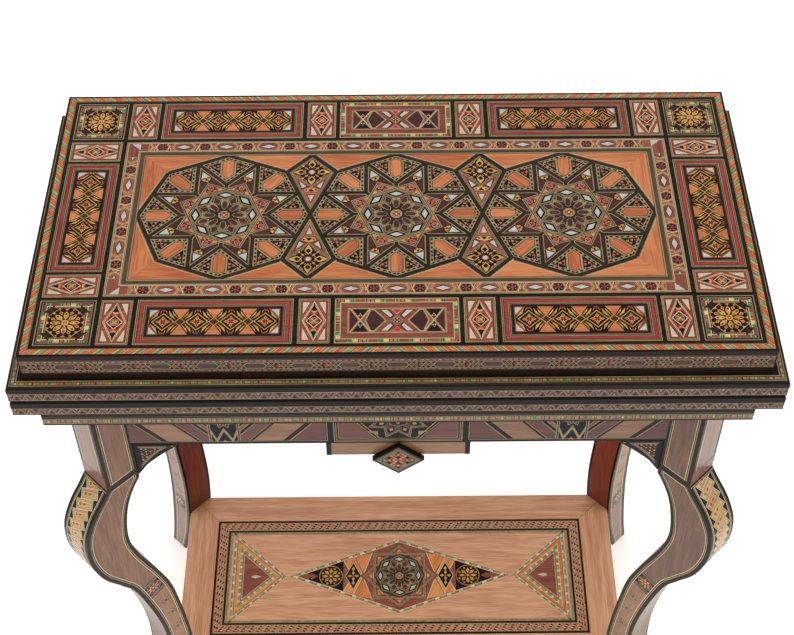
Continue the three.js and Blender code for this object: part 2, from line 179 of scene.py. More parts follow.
def pearl_material(name):
    """Mother-of-pearl: pale, with soft green and pink clouds and fine growth lines."""
    n = Nodes(name)
    place = n.add("ShaderNodeAttribute", {}, attribute_name="grain").outputs["Vector"]
    cloud = n.noise(place, 0.22, detail=2.0, distortion=1.5)
    lines = n.noise(n.stretch(place, (0.12, 1.6, 1.0)), 1.0, detail=2.0)
    green_pink = n.blend(n.remap(cloud, 0.4, 0.6, 0.0, 1.0), colour("#9fb3a0"), colour("#cdb3b0"))
    n.feed(n.shader, {
        "Base Color": n.blend(n.remap(lines, 0.35, 0.65, 0.0, 0.5), green_pink, colour("#dcdccb")),
        "Roughness": n.remap(lines, 0.3, 0.7, 0.14, 0.26),
        "Normal": n.bump(lines, 0.1, 0.0002),
        "Coat Weight": 0.6,
        "Coat Roughness": 0.06,
    })
    return n.material


def felt_material(name):
    n = Nodes(name)
    place = n.add("ShaderNodeTexCoord", {}).outputs["Object"]
    nap = n.noise(place, 900.0, detail=6.0)
    patch = n.noise(place, 14.0)
    mixed = n.math("ADD", n.math("MULTIPLY", nap, 0.7), n.math("MULTIPLY", patch, 0.3))
    n.feed(n.shader, {
        "Base Color": n.blend(n.remap(mixed, 0.35, 0.65, 0.0, 1.0), colour("#12492a"), colour("#2c7a4a")),
        "Roughness": n.remap(nap, 0.3, 0.7, 0.85, 1.0),
        "Normal": n.bump(nap, 0.6, 0.0006),
        "Sheen Weight": 0.5,
        "Sheen Roughness": 0.4,
    })
    return n.material


def metal_material(name, dark, light, brushed):
    n = Nodes(name)
    place = n.add("ShaderNodeTexCoord", {}).outputs["Object"]
    scratch = n.noise(n.stretch(place, (60.0, 2500.0, 2500.0)), 1.0, detail=4.0)
    stain = n.noise(place, 120.0)
    n.feed(n.shader, {
        "Base Color": n.blend(n.remap(stain, 0.35, 0.65, 0.0, 1.0), colour(dark), colour(light)),
        "Metallic": 1.0,
        "Roughness": n.remap(scratch, 0.3, 0.7, brushed - 0.08, brushed + 0.12),
        "Normal": n.bump(scratch, 0.15, 0.0001),
    })
    return n.material


SPECIAL = {
    "pearl": pearl_material,
    "felt": felt_material,
    "brass": lambda name: metal_material(name, "#8d6a2c", "#cfa650", 0.26),
    "steel": lambda name: metal_material(name, "#6b6c6e", "#a2a3a5", 0.34),
}
made_materials = {}


def material(name):
    if name not in made_materials:
        made_materials[name] = SPECIAL.get(name, wood_material)(name)
    return made_materials[name]


# ---- Flat geometry --------------------------------------------------------------------------------
def box(x0, y0, x1, y1):
    return [(x0, y0), (x1, y0), (x1, y1), (x0, y1)]


def panel_outline(width, height):
    return box(-width / 2, -height / 2, width / 2, height / 2)


def lozenge(half_width, half_height, x=0.0, y=0.0):
    return [(x + half_width, y), (x, y + half_height), (x - half_width, y), (x, y - half_height)]


def ring_points(count, radius, start=0.0, x=0.0, y=0.0):
    angles = [math.radians(start + 360 * i / count) for i in range(count)]
    return [(x + radius * math.cos(a), y + radius * math.sin(a)) for a in angles]


def star_points(count, outer, inner, start=0.0):
    step = 180 / count
    radii = [outer, inner] * count
    angles = [math.radians(start + step * i) for i in range(2 * count)]
    return [(r * math.cos(a), r * math.sin(a)) for r, a in zip(radii, angles)]


def offset(points, distance, closed=True):
    """The path moved to its left, which is inwards for a counter-clockwise outline."""
    count = len(points)
    moved = []
    for i, (x, y) in enumerate(points):
        normals = []
        for j in (i - 1, i):
            if closed or 0 <= j < count - 1:
                (ax, ay), (bx, by) = points[j], points[(j + 1) % count]
                length = math.hypot(bx - ax, by - ay)
                normals.append(((ay - by) / length, (bx - ax) / length))
        (px, py), (qx, qy) = normals[0], normals[-1]
        share = distance / (1 + px * qx + py * qy)
        moved.append((x + (px + qx) * share, y + (py + qy) * share))
    return moved


def area(points):
    return sum(a[0] * b[1] - b[0] * a[1] for a, b in zip(points, points[1:] + points[:1])) / 2


def clip(points, window):
    """The part of an outline inside a convex counter-clockwise window."""
    for (ax, ay), (bx, by) in zip(window, window[1:] + window[:1]):
        kept = []
        sides = [(bx - ax) * (y - ay) - (by - ay) * (x - ax) for x, y in points]
        for i, (x, y) in enumerate(points):
            px, py = points[i - 1]
            here, before = sides[i], sides[i - 1]
            if (here >= 0) != (before >= 0):
                share = before / (before - here)
                kept.append((px + (x - px) * share, py + (y - py) * share))
            if here >= 0:
                kept.append((x, y))
        points = kept
        if not points:
            return []
    return points


class Drawing:
    """Marquetry painted back to front in millimetres, through a brush that can be moved and turned."""

    def __init__(self, shapes=None, place=(1, 0, 0, 0, 1, 0), window=None):
        self.shapes = [] if shapes is None else shapes
        self.place = place
        self.window = window

    def at(self, x=0.0, y=0.0, turn=0.0, flip=False, scale=1.0):
        """The same drawing with its brush at (x, y), turned by degrees; flip mirrors the brush's y."""
        a, b, c, d, e, f = self.place
        cos, sin = scale * math.cos(math.radians(turn)), scale * math.sin(math.radians(turn))
        side = -1 if flip else 1
        place = (
            a * cos + b * sin, (b * cos - a * sin) * side, a * x + b * y + c,
            d * cos + e * sin, (e * cos - d * sin) * side, d * x + e * y + f,
        )
        return Drawing(self.shapes, place, self.window)

    def inside(self, window):
        """The same drawing, painting only inside a convex outline."""
        a, b, c, d, e, f = self.place
        moved = [(a * x + b * y + c, d * x + e * y + f) for x, y in window]
        if area(moved) < 0:
            moved.reverse()
        return Drawing(self.shapes, self.place, moved)

    def around(self, count, start=0.0):
        return [self.at(turn=start + 360 * i / count) for i in range(count)]

    def halves(self):
        return [self, self.at(turn=180, flip=True)]

    def both(self):
        return [self, self.at(flip=True)]

    def quarters(self):
        return [brush for half in self.halves() for brush in half.both()]

    def mirrored(self):
        """A copy with left and right exchanged."""
        return Drawing([(wood, [(-x, y) for x, y in points][::-1], -grain)
                        for wood, points, grain in self.shapes])

    def fill(self, wood, points, grain=0.0):
        """Paints one piece of wood; wood None cuts a hole."""
        a, b, c, d, e, f = self.place
        moved = [(a * x + b * y + c, d * x + e * y + f) for x, y in points]
        if self.window:
            moved = clip(moved, self.window)
        if len(moved) > 2 and abs(area(moved)) > 0.002:
            if area(moved) < 0:
                moved.reverse()
            self.shapes.append((wood, moved, math.atan2(d, a) + math.radians(grain)))

    def rings(self, points, *layers):
        """Nested outlines, each layer (wood, width) wide; returns the outline left inside."""
        for wood, width in layers:
            self.fill(wood, points)
            points = offset(points, width)
        return points

    def ribbon(self, wood, path, near, far):
        """A strip that follows an open path, from near to far on its left."""
        self.fill(wood, offset(path, near, False) + offset(path, far, False)[::-1])

    def string(self, wood, path, width):
        self.ribbon(wood, path, -width / 2, width / 2)

    def segments(self, start, end, width, cycle, slant=0.0):
        """Short pieces laid end to end along a line, repeating the cycle of (wood, length)."""
        (ax, ay), (bx, by) = start, end
        length = math.hypot(bx - ax, by - ay)
        if length < JOINT:
            return
        brush = self.at(ax, ay, math.degrees(math.atan2(by - ay, bx - ax)))
        h = width / 2
        brush = brush.inside(clip_inside(brush, box(0, -h, length, h)))
        x = -abs(slant)
        index = 0
        while x < length + abs(slant):
            wood, run = cycle[index % len(cycle)]
            s = slant / 2
            brush.fill(wood, [(x - s, -h), (x + run - s, -h), (x + run + s, h), (x + s, h)])
            x += run
            index += 1


def clip_inside(brush, window):
    """A window in the brush's frame, cut down to the window that the brush already has."""
    if not brush.window:
        return window
    a, b, c, d, e, f = brush.place
    moved = [(a * x + b * y + c, d * x + e * y + f) for x, y in window]
    both = clip(moved, brush.window)
    det = a * e - b * d
    return [((e * (x - c) - b * (y - f)) / det, (a * (y - f) - d * (x - c)) / det) for x, y in both]


# ---- From drawings to closed pieces ---------------------------------------------------------------
def plane(origin, along, up):
    """Places (u, v, w) with u along, v up and w outwards from the origin."""
    origin, along, up = Vector(origin), Vector(along), Vector(up)
    out = along.cross(up)
    return lambda u, v, w: origin + along * u + up * v + out * w


def facing(turn, distance, level):
    """A vertical face that looks out at a distance from the middle; turn 0 is the front."""
    turned = Matrix.Rotation(math.radians(turn), 3, "Z")
    return plane(turned @ Vector((0, -distance, level)), turned @ Vector((1, 0, 0)), (0, 0, 1))


def level_plane(height, turn=0, x=0.0, y=0.0):
    turned = Matrix.Rotation(math.radians(turn), 3, "Z")
    return plane((x, y, height), turned @ Vector((1, 0, 0)), turned @ Vector((0, 1, 0)))


def inward_planes(level):
    """Finds, for one side of a level rectangle, the plane with u along it and v inwards."""
    def place(turn, across):
        turned = Matrix.Rotation(math.radians(turn), 3, "Z")
        return plane(turned @ Vector((0, -across, level)), turned @ Vector((1, 0, 0)),
                     turned @ Vector((0, 1, 0)))
    return place

def shifted(place, distance):
    """The same plane, with u measured from a point that lies a distance along it."""
    return lambda u, v, w: place(u + distance, v, w)

def side_sizes(turn, x, y):
    """Half the length of a side, and its distance from the middle."""
    return (x, y) if turn % 180 == 0 else (y, x)

def make_piece(name, vertices, faces, woods, body, replaces=(), smooth=False):
    """A closed mesh from millimetre vertices, with one wood for each face."""
    mesh = bpy.data.meshes.new(name)
    mesh.from_pydata([[c * MM for c in v] for v in vertices], [], faces)
    names = sorted(set(woods))
    for wood in names:
        mesh.materials.append(material(wood))
    mesh.polygons.foreach_set("material_index", [names.index(w) for w in woods])
    if smooth:
        mesh.polygons.foreach_set("use_smooth", [True] * len(faces))
        mesh.set_sharp_from_angle(angle=math.radians(32))
    piece = bpy.data.objects.new(name, mesh)
    bpy.context.scene.collection.objects.link(piece)
    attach(piece, body)
    if replaces:
        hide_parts(*replaces)
    return piece


def boundary_loops(edges):
    """Chains directed border edges into closed loops."""
    after = {}
    for start, end in edges:
        after.setdefault(start, []).append(end)
    loops = []
    while after:
        start = next(iter(after))
        loop = [start]
        here = after[start].pop()
        if not after[start]:
            del after[start]
        while here != start:
            loop.append(here)
            there = after[here].pop()
            if not after[here]:
                del after[here]
            here = there
        loops.append(loop)
    return loops


class ShapeFinder:
    """Finds the last-drawn shape at a point, within the drawing's first shape."""

    def __init__(self, shapes):
        self.outlines = []
        for number, (_, outline, _) in enumerate(shapes):
            xs, ys = zip(*outline)
            self.outlines.append((min(xs), max(xs), min(ys), max(ys), number, outline))
        self.board = self.outlines[0]
        self.outlines.reverse()

    @staticmethod
    def holds(entry, x, y):
        low_x, high_x, low_y, high_y, _, outline = entry
        if not (low_x <= x <= high_x and low_y <= y <= high_y):
            return False
        inside = False
        previous_x, previous_y = outline[-1]
        for next_x, next_y in outline:
            if (previous_y > y) != (next_y > y):
                crossing = previous_x + (next_x - previous_x) * (y - previous_y) / (next_y - previous_y)
                if x < crossing:
                    inside = not inside
            previous_x, previous_y = next_x, next_y
        return inside

    def topmost(self, x, y):
        if not self.holds(self.board, x, y):
            return None
        return next(entry[4] for entry in self.outlines if self.holds(entry, x, y))


def lay(name, drawing, place, thickness, body, cuts=(), replaces=(), curved=False):
    """Turns a drawing into one closed sheet of veneer with the outline of the drawing's first shape.

    Cuts are extra lines that let the sheet bend."""
    points, loops = [], []
    for _, outline, _ in drawing.shapes:
        loops.append(list(range(len(points), len(points) + len(outline))))
        points.extend(outline)
    edges = []
    for start, end in cuts:
        edges.append((len(points), len(points) + 1))
        points.extend([start, end])
    flat, _, cells, _, _, _ = delaunay_2d_cdt(
        [Vector(p) for p in points], edges, loops, 1, 1e-3, True)
    kept = []
    finder = ShapeFinder(drawing.shapes)
    for cell in cells:
        owner = finder.topmost(*(sum(flat[i][axis] for i in cell) / len(cell) for axis in (0, 1)))
        if owner is not None and drawing.shapes[owner][0] is not None:
            kept.append((cell, owner))
    used = sorted({i for cell, _ in kept for i in cell})
    index = {old: new for new, old in enumerate(used)}
    flat = [flat[i] for i in used]
    kept = [([index[i] for i in cell], owner) for cell, owner in kept]
    if sum(area([tuple(flat[i]) for i in cell]) for cell, _ in kept) < 0:
        kept = [(cell[::-1], owner) for cell, owner in kept]
    directed = {(a, b) for cell, _ in kept for a, b in zip(cell, cell[1:] + cell[:1])}
    border = [(a, b) for a, b in directed if (b, a) not in directed]
    border.sort()
    count = len(flat)
    vertices = [place(p.x, p.y, thickness) for p in flat] + [place(p.x, p.y, 0) for p in flat]
    faces = [cell for cell, _ in kept]
    woods = [drawing.shapes[owner][0] for _, owner in kept]
    outlines = boundary_loops(border)
    if len(outlines) == 1 and not curved:
        faces.append([i + count for i in outlines[0]][::-1])
    else:
        faces.extend([i + count for i in cell][::-1] for cell, _ in kept)
    faces.extend([b, a, a + count, b + count] for a, b in border)
    woods.extend([BACKING] * (len(faces) - len(kept)))
    piece = make_piece(name, vertices, faces, woods, body, replaces, smooth=curved)
    drop_loose_vertices(piece.data)
    write_grain(piece.data, drawing, kept, flat)


def drop_loose_vertices(mesh):
    """Removes vertices that no face uses, which a one-loop underside leaves behind."""
    used = {v for polygon in mesh.polygons for v in polygon.vertices}
    if len(used) == len(mesh.vertices):
        return
    edited = bmesh.new()
    edited.from_mesh(mesh)
    loose = [v for v in edited.verts if not v.link_faces]
    bmesh.ops.delete(edited, geom=loose, context="VERTS")
    edited.to_mesh(mesh)
    edited.free()


def write_grain(mesh, drawing, kept, flat):
    """Stores each veneer's own grain coordinates and tone for the wood materials."""
    grain = mesh.attributes.new("grain", "FLOAT_VECTOR", "CORNER")
    tone = mesh.attributes.new("tone", "FLOAT", "FACE")
    luck = {}
    for number, polygon in enumerate(mesh.polygons):
        owner = kept[number][1] if number < len(kept) else -1
        if owner not in luck:
            luck[owner] = (chance.uniform(0, 900), chance.uniform(0, 900), chance.uniform(-1, 1))
        shift_x, shift_y, value = luck[owner]
        turn = drawing.shapes[owner][2]
        cos, sin = math.cos(turn), math.sin(turn)
        tone.data[number].value = value
        for corner in polygon.loop_indices:
            if number < len(kept):
                place = kept[number][0][corner - polygon.loop_start]
                x, y = flat[place]
            else:
                x, y, _ = mesh.vertices[mesh.loops[corner].vertex_index].co / MM
            grain.data[corner].vector = (x * cos + y * sin + shift_x, y * cos - x * sin, shift_y)


def solid(name, outline, place, near, far, wood, body, replaces=()):
    """A flat outline raised from w=near to w=far."""
    count = len(outline)
    vertices = [place(x, y, far) for x, y in outline] + [place(x, y, near) for x, y in outline]
    faces = [list(range(count)), list(range(2 * count - 1, count - 1, -1))]
    faces += [[(i + 1) % count, i, i + count, (i + 1) % count + count] for i in range(count)]
    return make_piece(name, vertices, faces, [wood] * len(faces), body, replaces, smooth=True)


def bevel(piece, width, segments=2):
    made = piece.modifiers.new("edges", "BEVEL")
    made.width = width * MM
    made.segments = segments
    made.limit_method = "ANGLE"
    made.angle_limit = math.radians(40)


# ---- Small repeated motifs ------------------------------------------------------------------------
STRINGING = [
    ("brick", 8.5), ("green", 1.6), ("ebony", 0.7), ("khaki", 0.8), ("ebony", 0.7), ("green", 1.4),
    ("straw", 4.6), ("ebony", 0.8), ("tan", 3.0), ("ebony", 0.8), ("rose", 1.6), ("green", 1.4),
    ("ebony", 0.7), ("khaki", 1.2),
]
SPECKS = [("tan", 3.0), ("strap", 1.6), ("khaki", 2.2), ("green", 1.3), ("strap", 1.8), ("red", 1.4)]
FINE_STRING = [
    ("khaki", 4.0), ("strap", 0.5), ("gold", 2.4), ("strap", 0.5), ("green", 1.4), ("strap", 0.5),
    ("khaki", 5.0), ("strap", 0.5), ("tan", 2.2), ("ebony", 0.6), ("khaki", 3.2), ("red", 1.2),
    ("strap", 0.5), ("khaki", 2.6), ("tan", 3.0), ("ebony", 0.5),
]
DASHES = [
    ("night", 3.0), ("khaki", 1.8), ("night", 2.8), ("tan", 1.8), ("rose", 1.1), ("night", 2.8),
    ("green", 1.2), ("khaki", 1.6),
]
ROPE = [
    ("salmon", 2.6), ("ebony", 0.5), ("orange", 2.2), ("cream", 0.5), ("ebony", 0.4), ("green", 2.8),
    ("ebony", 0.5), ("cream", 0.4), ("rose", 2.0), ("ebony", 0.5), ("orange", 2.2), ("ebony", 0.5),
    ("salmon", 2.2), ("ebony", 0.5),
]


def string_frame(brush, outline, width, cycle, ground="night"):
    """A frame of short segments inside an outline; returns what is left inside it."""
    brush.fill(ground, outline)
    inner = offset(outline, width)
    middle = offset(outline, width / 2)
    for a, b in zip(middle, middle[1:] + middle[:1]):
        brush.segments(a, b, width, cycle)
    return inner


def clover(brush, radius, petal="gold", heart="red"):
    """A tiny four-petalled flower on a dark ground."""
    for arm in brush.around(4):
        arm.fill(petal, [(radius * 0.2, 0), (radius * 0.6, -radius * 0.27), (radius, 0),
                         (radius * 0.6, radius * 0.27)])
    brush.fill(heart, ring_points(8, radius * 0.24))


def spark(brush, size, first="gold", second="rose"):
    """Three small triangles in a heap."""
    for x, y, wood in ((-0.55, 0, first), (0.55, 0, second), (0, 1.0, first)):
        brush.fill(wood, [((x - 0.48) * size, y * size), ((x + 0.48) * size, y * size),
                          (x * size, (y + 0.85) * size)])


def guard_run(brush, half_length, half_height):
    """A band of lozenges, chevrons and flowers, with a lozenge in the middle."""
    period = 42.8
    h = half_height
    brush.fill("brick", box(-half_length, -h, half_length, h))
    reach = math.ceil(half_length / period) + 1
    for number in range(-reach, reach + 1):
        here = brush.at(number * period)
        here.fill("maroon", lozenge(8.4, h * 0.72))
        here.fill("pearl", lozenge(7.2, h * 0.5))
        for half in here.halves():
            for x, wood in ((8.4, "khaki"), (10.0, "straw"), (11.6, "khaki")):
                half.string(wood, [(x - 1.8, -h), (x + 1.6, 0), (x - 1.8, h)], 0.7)
        flower = brush.at((number + 0.5) * period)
        for half in flower.halves():
            for side in half.both():
                side.fill("red", [(6.4, h), (8.2, 1.6), (10.4, h)])
                side.string("straw", [(5.0, h), (8.8, -h)], 0.7)
        flower.fill("khaki", [(-6.6, 0), (-4.2, -h), (4.2, -h), (6.6, 0), (4.2, h), (-4.2, h)])
        flower.fill("maroon", [(-5.6, 0), (-3.5, 0.7 - h), (3.5, 0.7 - h), (5.6, 0), (3.5, h - 0.7),
                               (-3.5, h - 0.7)])
        for arm in flower.around(6):
            arm.fill("night", ring_points(4, h * 0.2, 45, h * 0.6))
        for arm in flower.around(6, 30):
            arm.fill("rose", lozenge(h * 0.16, h * 0.1, h * 0.58))
        flower.fill("red", star_points(6, h * 0.42, h * 0.22))


def lattice_run(brush, half_length, half_height):
    """Long maroon lozenges with a crossed lattice and a red flower between them."""
    period = 42.8
    h = half_height
    brush.fill("strap", box(-half_length, -h, half_length, h))
    reach = math.ceil(half_length / period) + 1
    for number in range(-reach, reach + 1):
        here = brush.at(number * period)
        for half in here.halves():
            for x in (10.5, 15.0, 19.5):
                half.string("khaki", [(x - 3.0, -h), (x + 3.0, h)], 0.6)
                half.string("khaki", [(x + 3.0, -h), (x - 3.0, h)], 0.6)
                half.fill("brick", lozenge(1.2, 1.8, x + 2.25))
        outline = [(10.4, 0), (8.0, h - 0.8), (-8.0, h - 0.8), (-10.4, 0), (-8.0, 0.8 - h), (8.0, 0.8 - h)]
        left = here.rings(outline, ("khaki", 0.5))
        here.fill("maroon", left)
        flower = brush.at((number + 0.5) * period)
        flower.fill("night", ring_points(8, 3.9, 22.5))
        flower.fill("red", star_points(8, 3.4, 1.5))
        flower.fill("rose", ring_points(6, 0.9))


def zigzag_run(brush, half_length, half_height):
    """A fine band of chevrons with a dark chip in each."""
    pitch = 4.7
    h = half_height
    brush.fill("maroon", box(-half_length, -h, half_length, h))
    count = math.ceil(half_length / pitch) + 1
    for number in range(-count, count):
        here = brush.at(number * pitch)
        top = h if number % 2 else -h
        here.string("khaki", [(0, -top), (pitch, top)], 0.6)
        here.string("tan", [(1.4, -top), (pitch + 1.4, top)], 0.4)
        chip = [(pitch * 0.62, -top * 0.9), (pitch * 1.38, -top * 0.9), (pitch, -top * 0.1)]
        here.fill(("ebony", "brick", "tan")[number % 3], chip)
    for edge in (-h + 0.35, h - 0.35):
        brush.fill("khaki", box(-half_length, edge - 0.35, half_length, edge + 0.35))


def rope_run(brush, start, end, low, high, lean):
    middle = (low + high) / 2
    if start < end:
        brush.segments((start, middle), (end, middle), high - low, ROPE, slant=lean * (high - low))


# ---- The inlaid top -------------------------------------------------------------------------------
top_low, top_high = cad("upper_inlaid_veneer")
TOP_X, TOP_Y = top_high.x, top_high.y
TOP_THICKNESS = top_high.z - top_low.z - SEAT
TOP_LEVEL = top_low.z + SEAT
EDGING = 11.8                    # black edge, rope and black band
BORDER_X, BORDER_Y = 51.8, 54.0  # depth of the border panels on the short and the long sides
BAND = 4.4                       # black band inside the border panels
GUARD = 21.2                     # guard band with its olive frame
PANEL_X, PANEL_Y = TOP_X - EDGING - BORDER_X / 2, TOP_Y - EDGING - BORDER_Y / 2
RING_X = TOP_X - EDGING - BORDER_X - BAND
RING_Y = TOP_Y - EDGING - BORDER_Y - BAND
RADIUS = RING_Y - GUARD          # of an octagon, corner to middle
SMALL = 29.3                     # width of a small lozenge panel
LONG_PANEL = 143.5
SIDE_PANEL = 147.0
CENTRE_PANEL = 114.0
OUTER_LOZENGE_X, CHAIN_X, INNER_LOZENGE_X = 257.35, 166.75, 75.75   # middles on the long sides
END_LOZENGE_Y = 91.0                                                # middles on the short sides


def lay_top(name, drawing, **more):
    return lay(name, drawing, level_plane(TOP_LEVEL), TOP_THICKNESS, "upper_leaf", **more)


def mitred_bar(half_length, width, start, end):
    """Plan of a bar with mitred ends, from its outer edge at v=0 inwards, between two stations."""
    whole = [(-half_length, 0), (half_length, 0), (half_length - width, width),
             (-half_length + width, width)]
    return offset(clip(whole, box(start, -1, end, width + 1)), JOINT)


def stations(half_length, count):
    return [half_length * (2 * i / count - 1) for i in range(count + 1)]


def lay_bars(name, half_x, half_y, width, paint, counts, place, thickness, body):
    """Mitred bars round a rectangle, each cut into shorter lengths; paint draws one whole side."""
    for side, turn in SIDES.items():
        along, across = side_sizes(turn, half_x, half_y)
        marks = stations(along, counts[turn // 90 % 2])
        for number, (start, end) in enumerate(zip(marks, marks[1:])):
            drawing = Drawing()
            turned = drawing.inside(mitred_bar(along, width, start, end))
            paint(turned, along, max(start, -along), min(end, along))
            lay(f"{name}_{side}_{number + 1}", drawing, place(turn, across), thickness, body)


def paint_edging(brush, half_length, start, end):
    brush.fill("ebony", box(start, 0, end, EDGING))
    rope_run(brush, max(start, -half_length), min(end, 0), 1.6, 7.2, 1)
    rope_run(brush, max(start, 0), end, 1.6, 7.2, -1)
    brush.fill("khaki", box(start, 7.6, end, 8.0))


def paint_guard(brush, half_length, start, end):
    brush.fill("olive", box(start, 0, end, GUARD))
    brush.fill("khaki", box(start, 0, end, 1.3))
    brush.fill("ebony", box(start, 1.3, end, 1.7))
    brush.fill("cream", box(start, 1.7, end, 2.2))
    guard_run(brush.at(0, 7.8), half_length, 5.5)
    for half in brush.halves():
        corner = half_length - 13.3
        half.fill("brick", box(corner - 9.0, 2.2, half_length, 13.3))
        half.fill("khaki", box(corner - 9.6, 2.2, corner - 9.0, 13.3))
        if half_length > RING_Y:
            half.fill("pearl", [(corner - 1.0, 3.0), (corner - 1.0, 11.6), (corner + 7.8, 3.0)])
    brush.fill("cream", box(start, 13.3, end, 13.8))
    brush.fill("khaki", box(start, 14.2, end, 15.2))
    brush.fill("khaki", box(start, 19.6, end, 20.6))


def corner_panel():
    drawing = Drawing()
    left = drawing.rings(panel_outline(BORDER_X - JOINT, BORDER_Y - JOINT), ("khaki", 0.8),
                         ("ebony", 1.7), ("khaki", 0.6), ("ebony", 0.4))
    left = string_frame(drawing, left, 3.2, STRINGING)
    left = drawing.rings(left, ("cream", 0.7), ("ebony", 1.1), ("gold", 0.6))
    drawing.fill("night", left)
    for arm in drawing.around(4, 45):
        arm.fill("strap", [(17.0, 0), (24.0, -7.0), (24.0, 7.0)])
        arm.string("gold", [(17.0, -8.5), (17.0, 8.5)], 0.6)
    for arm in drawing.around(8, 22.5):
        arm.fill("orange", [(9.4, 0), (13.0, -1.9), (14.6, 0), (13.0, 1.9)])
        arm.fill("night", lozenge(1.0, 0.7, 12.4))
        arm.fill("gold", [(15.4, 0), (17.2, -1.2), (17.2, 1.2)])
    for arm in drawing.around(8):
        arm.fill("gold", [(3.2, 0), (7.6, -2.5), (11.2, -2.0), (13.8, 0), (11.2, 2.0), (7.6, 2.5)])
        arm.fill("night", [(8.6, 0), (10.6, -1.0), (12.2, 0), (10.6, 1.0)])
        arm.fill("orange", [(14.6, 0), (17.0, -2.2), (17.0, 2.2)])
        arm.fill("red", lozenge(0.9, 0.7, 6.6))
    drawing.fill("gold", ring_points(12, 3.4))
    drawing.fill("red", ring_points(8, 1.9))
    drawing.fill("cream", ring_points(6, 0.8))
    return drawing


def lozenge_panel(width, height):
    drawing = Drawing()
    left = drawing.rings(panel_outline(width - JOINT, height - JOINT), ("khaki", 0.9), ("olive", 0.5),
                         ("khaki", 0.9), ("ebony", 0.5), ("red", 0.9), ("brick", 0.1))
    half_x, half_y = left[2]
    drawing.fill("brick", left)
    for corner in drawing.quarters():
        corner.fill("cream", [(half_x - 0.5, half_y - 0.9), (half_x - 6.4, half_y - 0.9),
                              (half_x - 0.5, half_y - 14.6)])
        corner.fill("pearl", [(half_x - 1.1, half_y - 1.6), (half_x - 5.4, half_y - 1.6),
                              (half_x - 3.4, half_y - 7.2), (half_x - 1.1, half_y - 10.4)])
    outer = lozenge(half_x + 0.1, half_y + 0.5)
    left = drawing.rings(outer, ("cream", 0.6), ("ebony", 0.4), ("cream", 0.6), ("ebony", 0.3))
    drawing.fill("red", left)
    for half in (drawing, drawing.at(turn=180)):
        half.fill("night", [(-2.8, 12.6), (2.8, 12.6), (0, half_y - 2.0)])
        half.fill("gold", [(-3.2, 12.8), (-1.6, 9.8), (1.6, 9.8), (3.2, 12.8), (0, 11.4)])
        half.fill("night", [(-5.6, 4.0), (-3.2, 8.6), (-2.4, 6.6)])
        half.fill("night", [(5.6, 4.0), (2.4, 6.6), (3.2, 8.6)])
    square = drawing.rings(lozenge(7.7, 8.6), ("cream", 0.7))
    drawing.fill("night", square)
    drawing.fill("khaki", ring_points(12, 4.3))
    drawing.fill("brick", ring_points(12, 3.6))
    clover(drawing.at(turn=45), 3.6, "gold", "cream")
    return drawing


def chain_panel(width, height):
    """A long red-framed panel with a chain of gold diamonds on salmon."""
    drawing = Drawing()
    left = drawing.rings(panel_outline(width - JOINT, height - JOINT), ("khaki", 0.8), ("olive", 0.9),
                         ("khaki", 0.6), ("maroon", 1.0), ("red", 2.6), ("ebony", 0.5), ("khaki", 0.7),
                         ("olive", 1.0), ("khaki", 0.5), ("maroon", 1.2), ("ebony", 2.0))
    half_x, half_y = left[2]
    field = drawing.inside(left)
    field.fill("salmon", left)
    pitch = 31.0
    for number in range(-2, 2):
        link = field.at((number + 0.5) * pitch)
        for corner in link.quarters():
            corner.fill("ebony", [(0, 0), (15.7, 0), (15.2, 3.8), (8.0, half_y), (0, half_y)])
            corner.fill("gold", [(14.2, 3.2), (8.0, 13.0), (9.0, 8.6)])
            corner.fill("gold", [(12.0, 1.8), (4.4, 13.4), (5.8, 7.4)])
            corner.fill("orange", [(3.4, 9.4), (0.9, half_y - 0.8), (2.6, half_y - 2.6)])
            corner.fill("gold", [(15.0, 0.6), (13.4, 2.8), (12.2, 0.8)])
        for side in link.both():
            side.fill("red", [(-2.4, half_y - 0.6), (0, half_y - 3.2), (2.4, half_y - 0.6)])
        square = link.rings(lozenge(10.6, 10.6), ("gold", 0.8), ("night", 0.4))
        link.fill("night", square)
        for arm in link.around(4):
            arm.fill("orange", [(1.5, 0), (3.8, -1.9), (7.0, 0), (3.8, 1.9)])
            arm.fill("night", lozenge(1.0, 0.6, 4.2))
        for arm in link.around(4, 45):
            arm.fill("gold", lozenge(1.1, 0.9, 3.3))
        link.fill("red", lozenge(1.8, 1.8))
    for number in range(-1, 2):
        joint = field.at(number * pitch)
        square = joint.rings(lozenge(5.2, 5.2), ("gold", 0.7), ("ebony", 0.3))
        joint.fill("maroon", square)
    for corner in field.quarters():
        corner.fill("brick", [(half_x, half_y), (half_x - 10.5, half_y), (half_x, half_y - 14.0)])
        corner.fill("pearl", [(half_x - 1.0, half_y - 1.0), (half_x - 8.0, half_y - 1.0),
                              (half_x - 1.0, half_y - 9.4)])
    return drawing


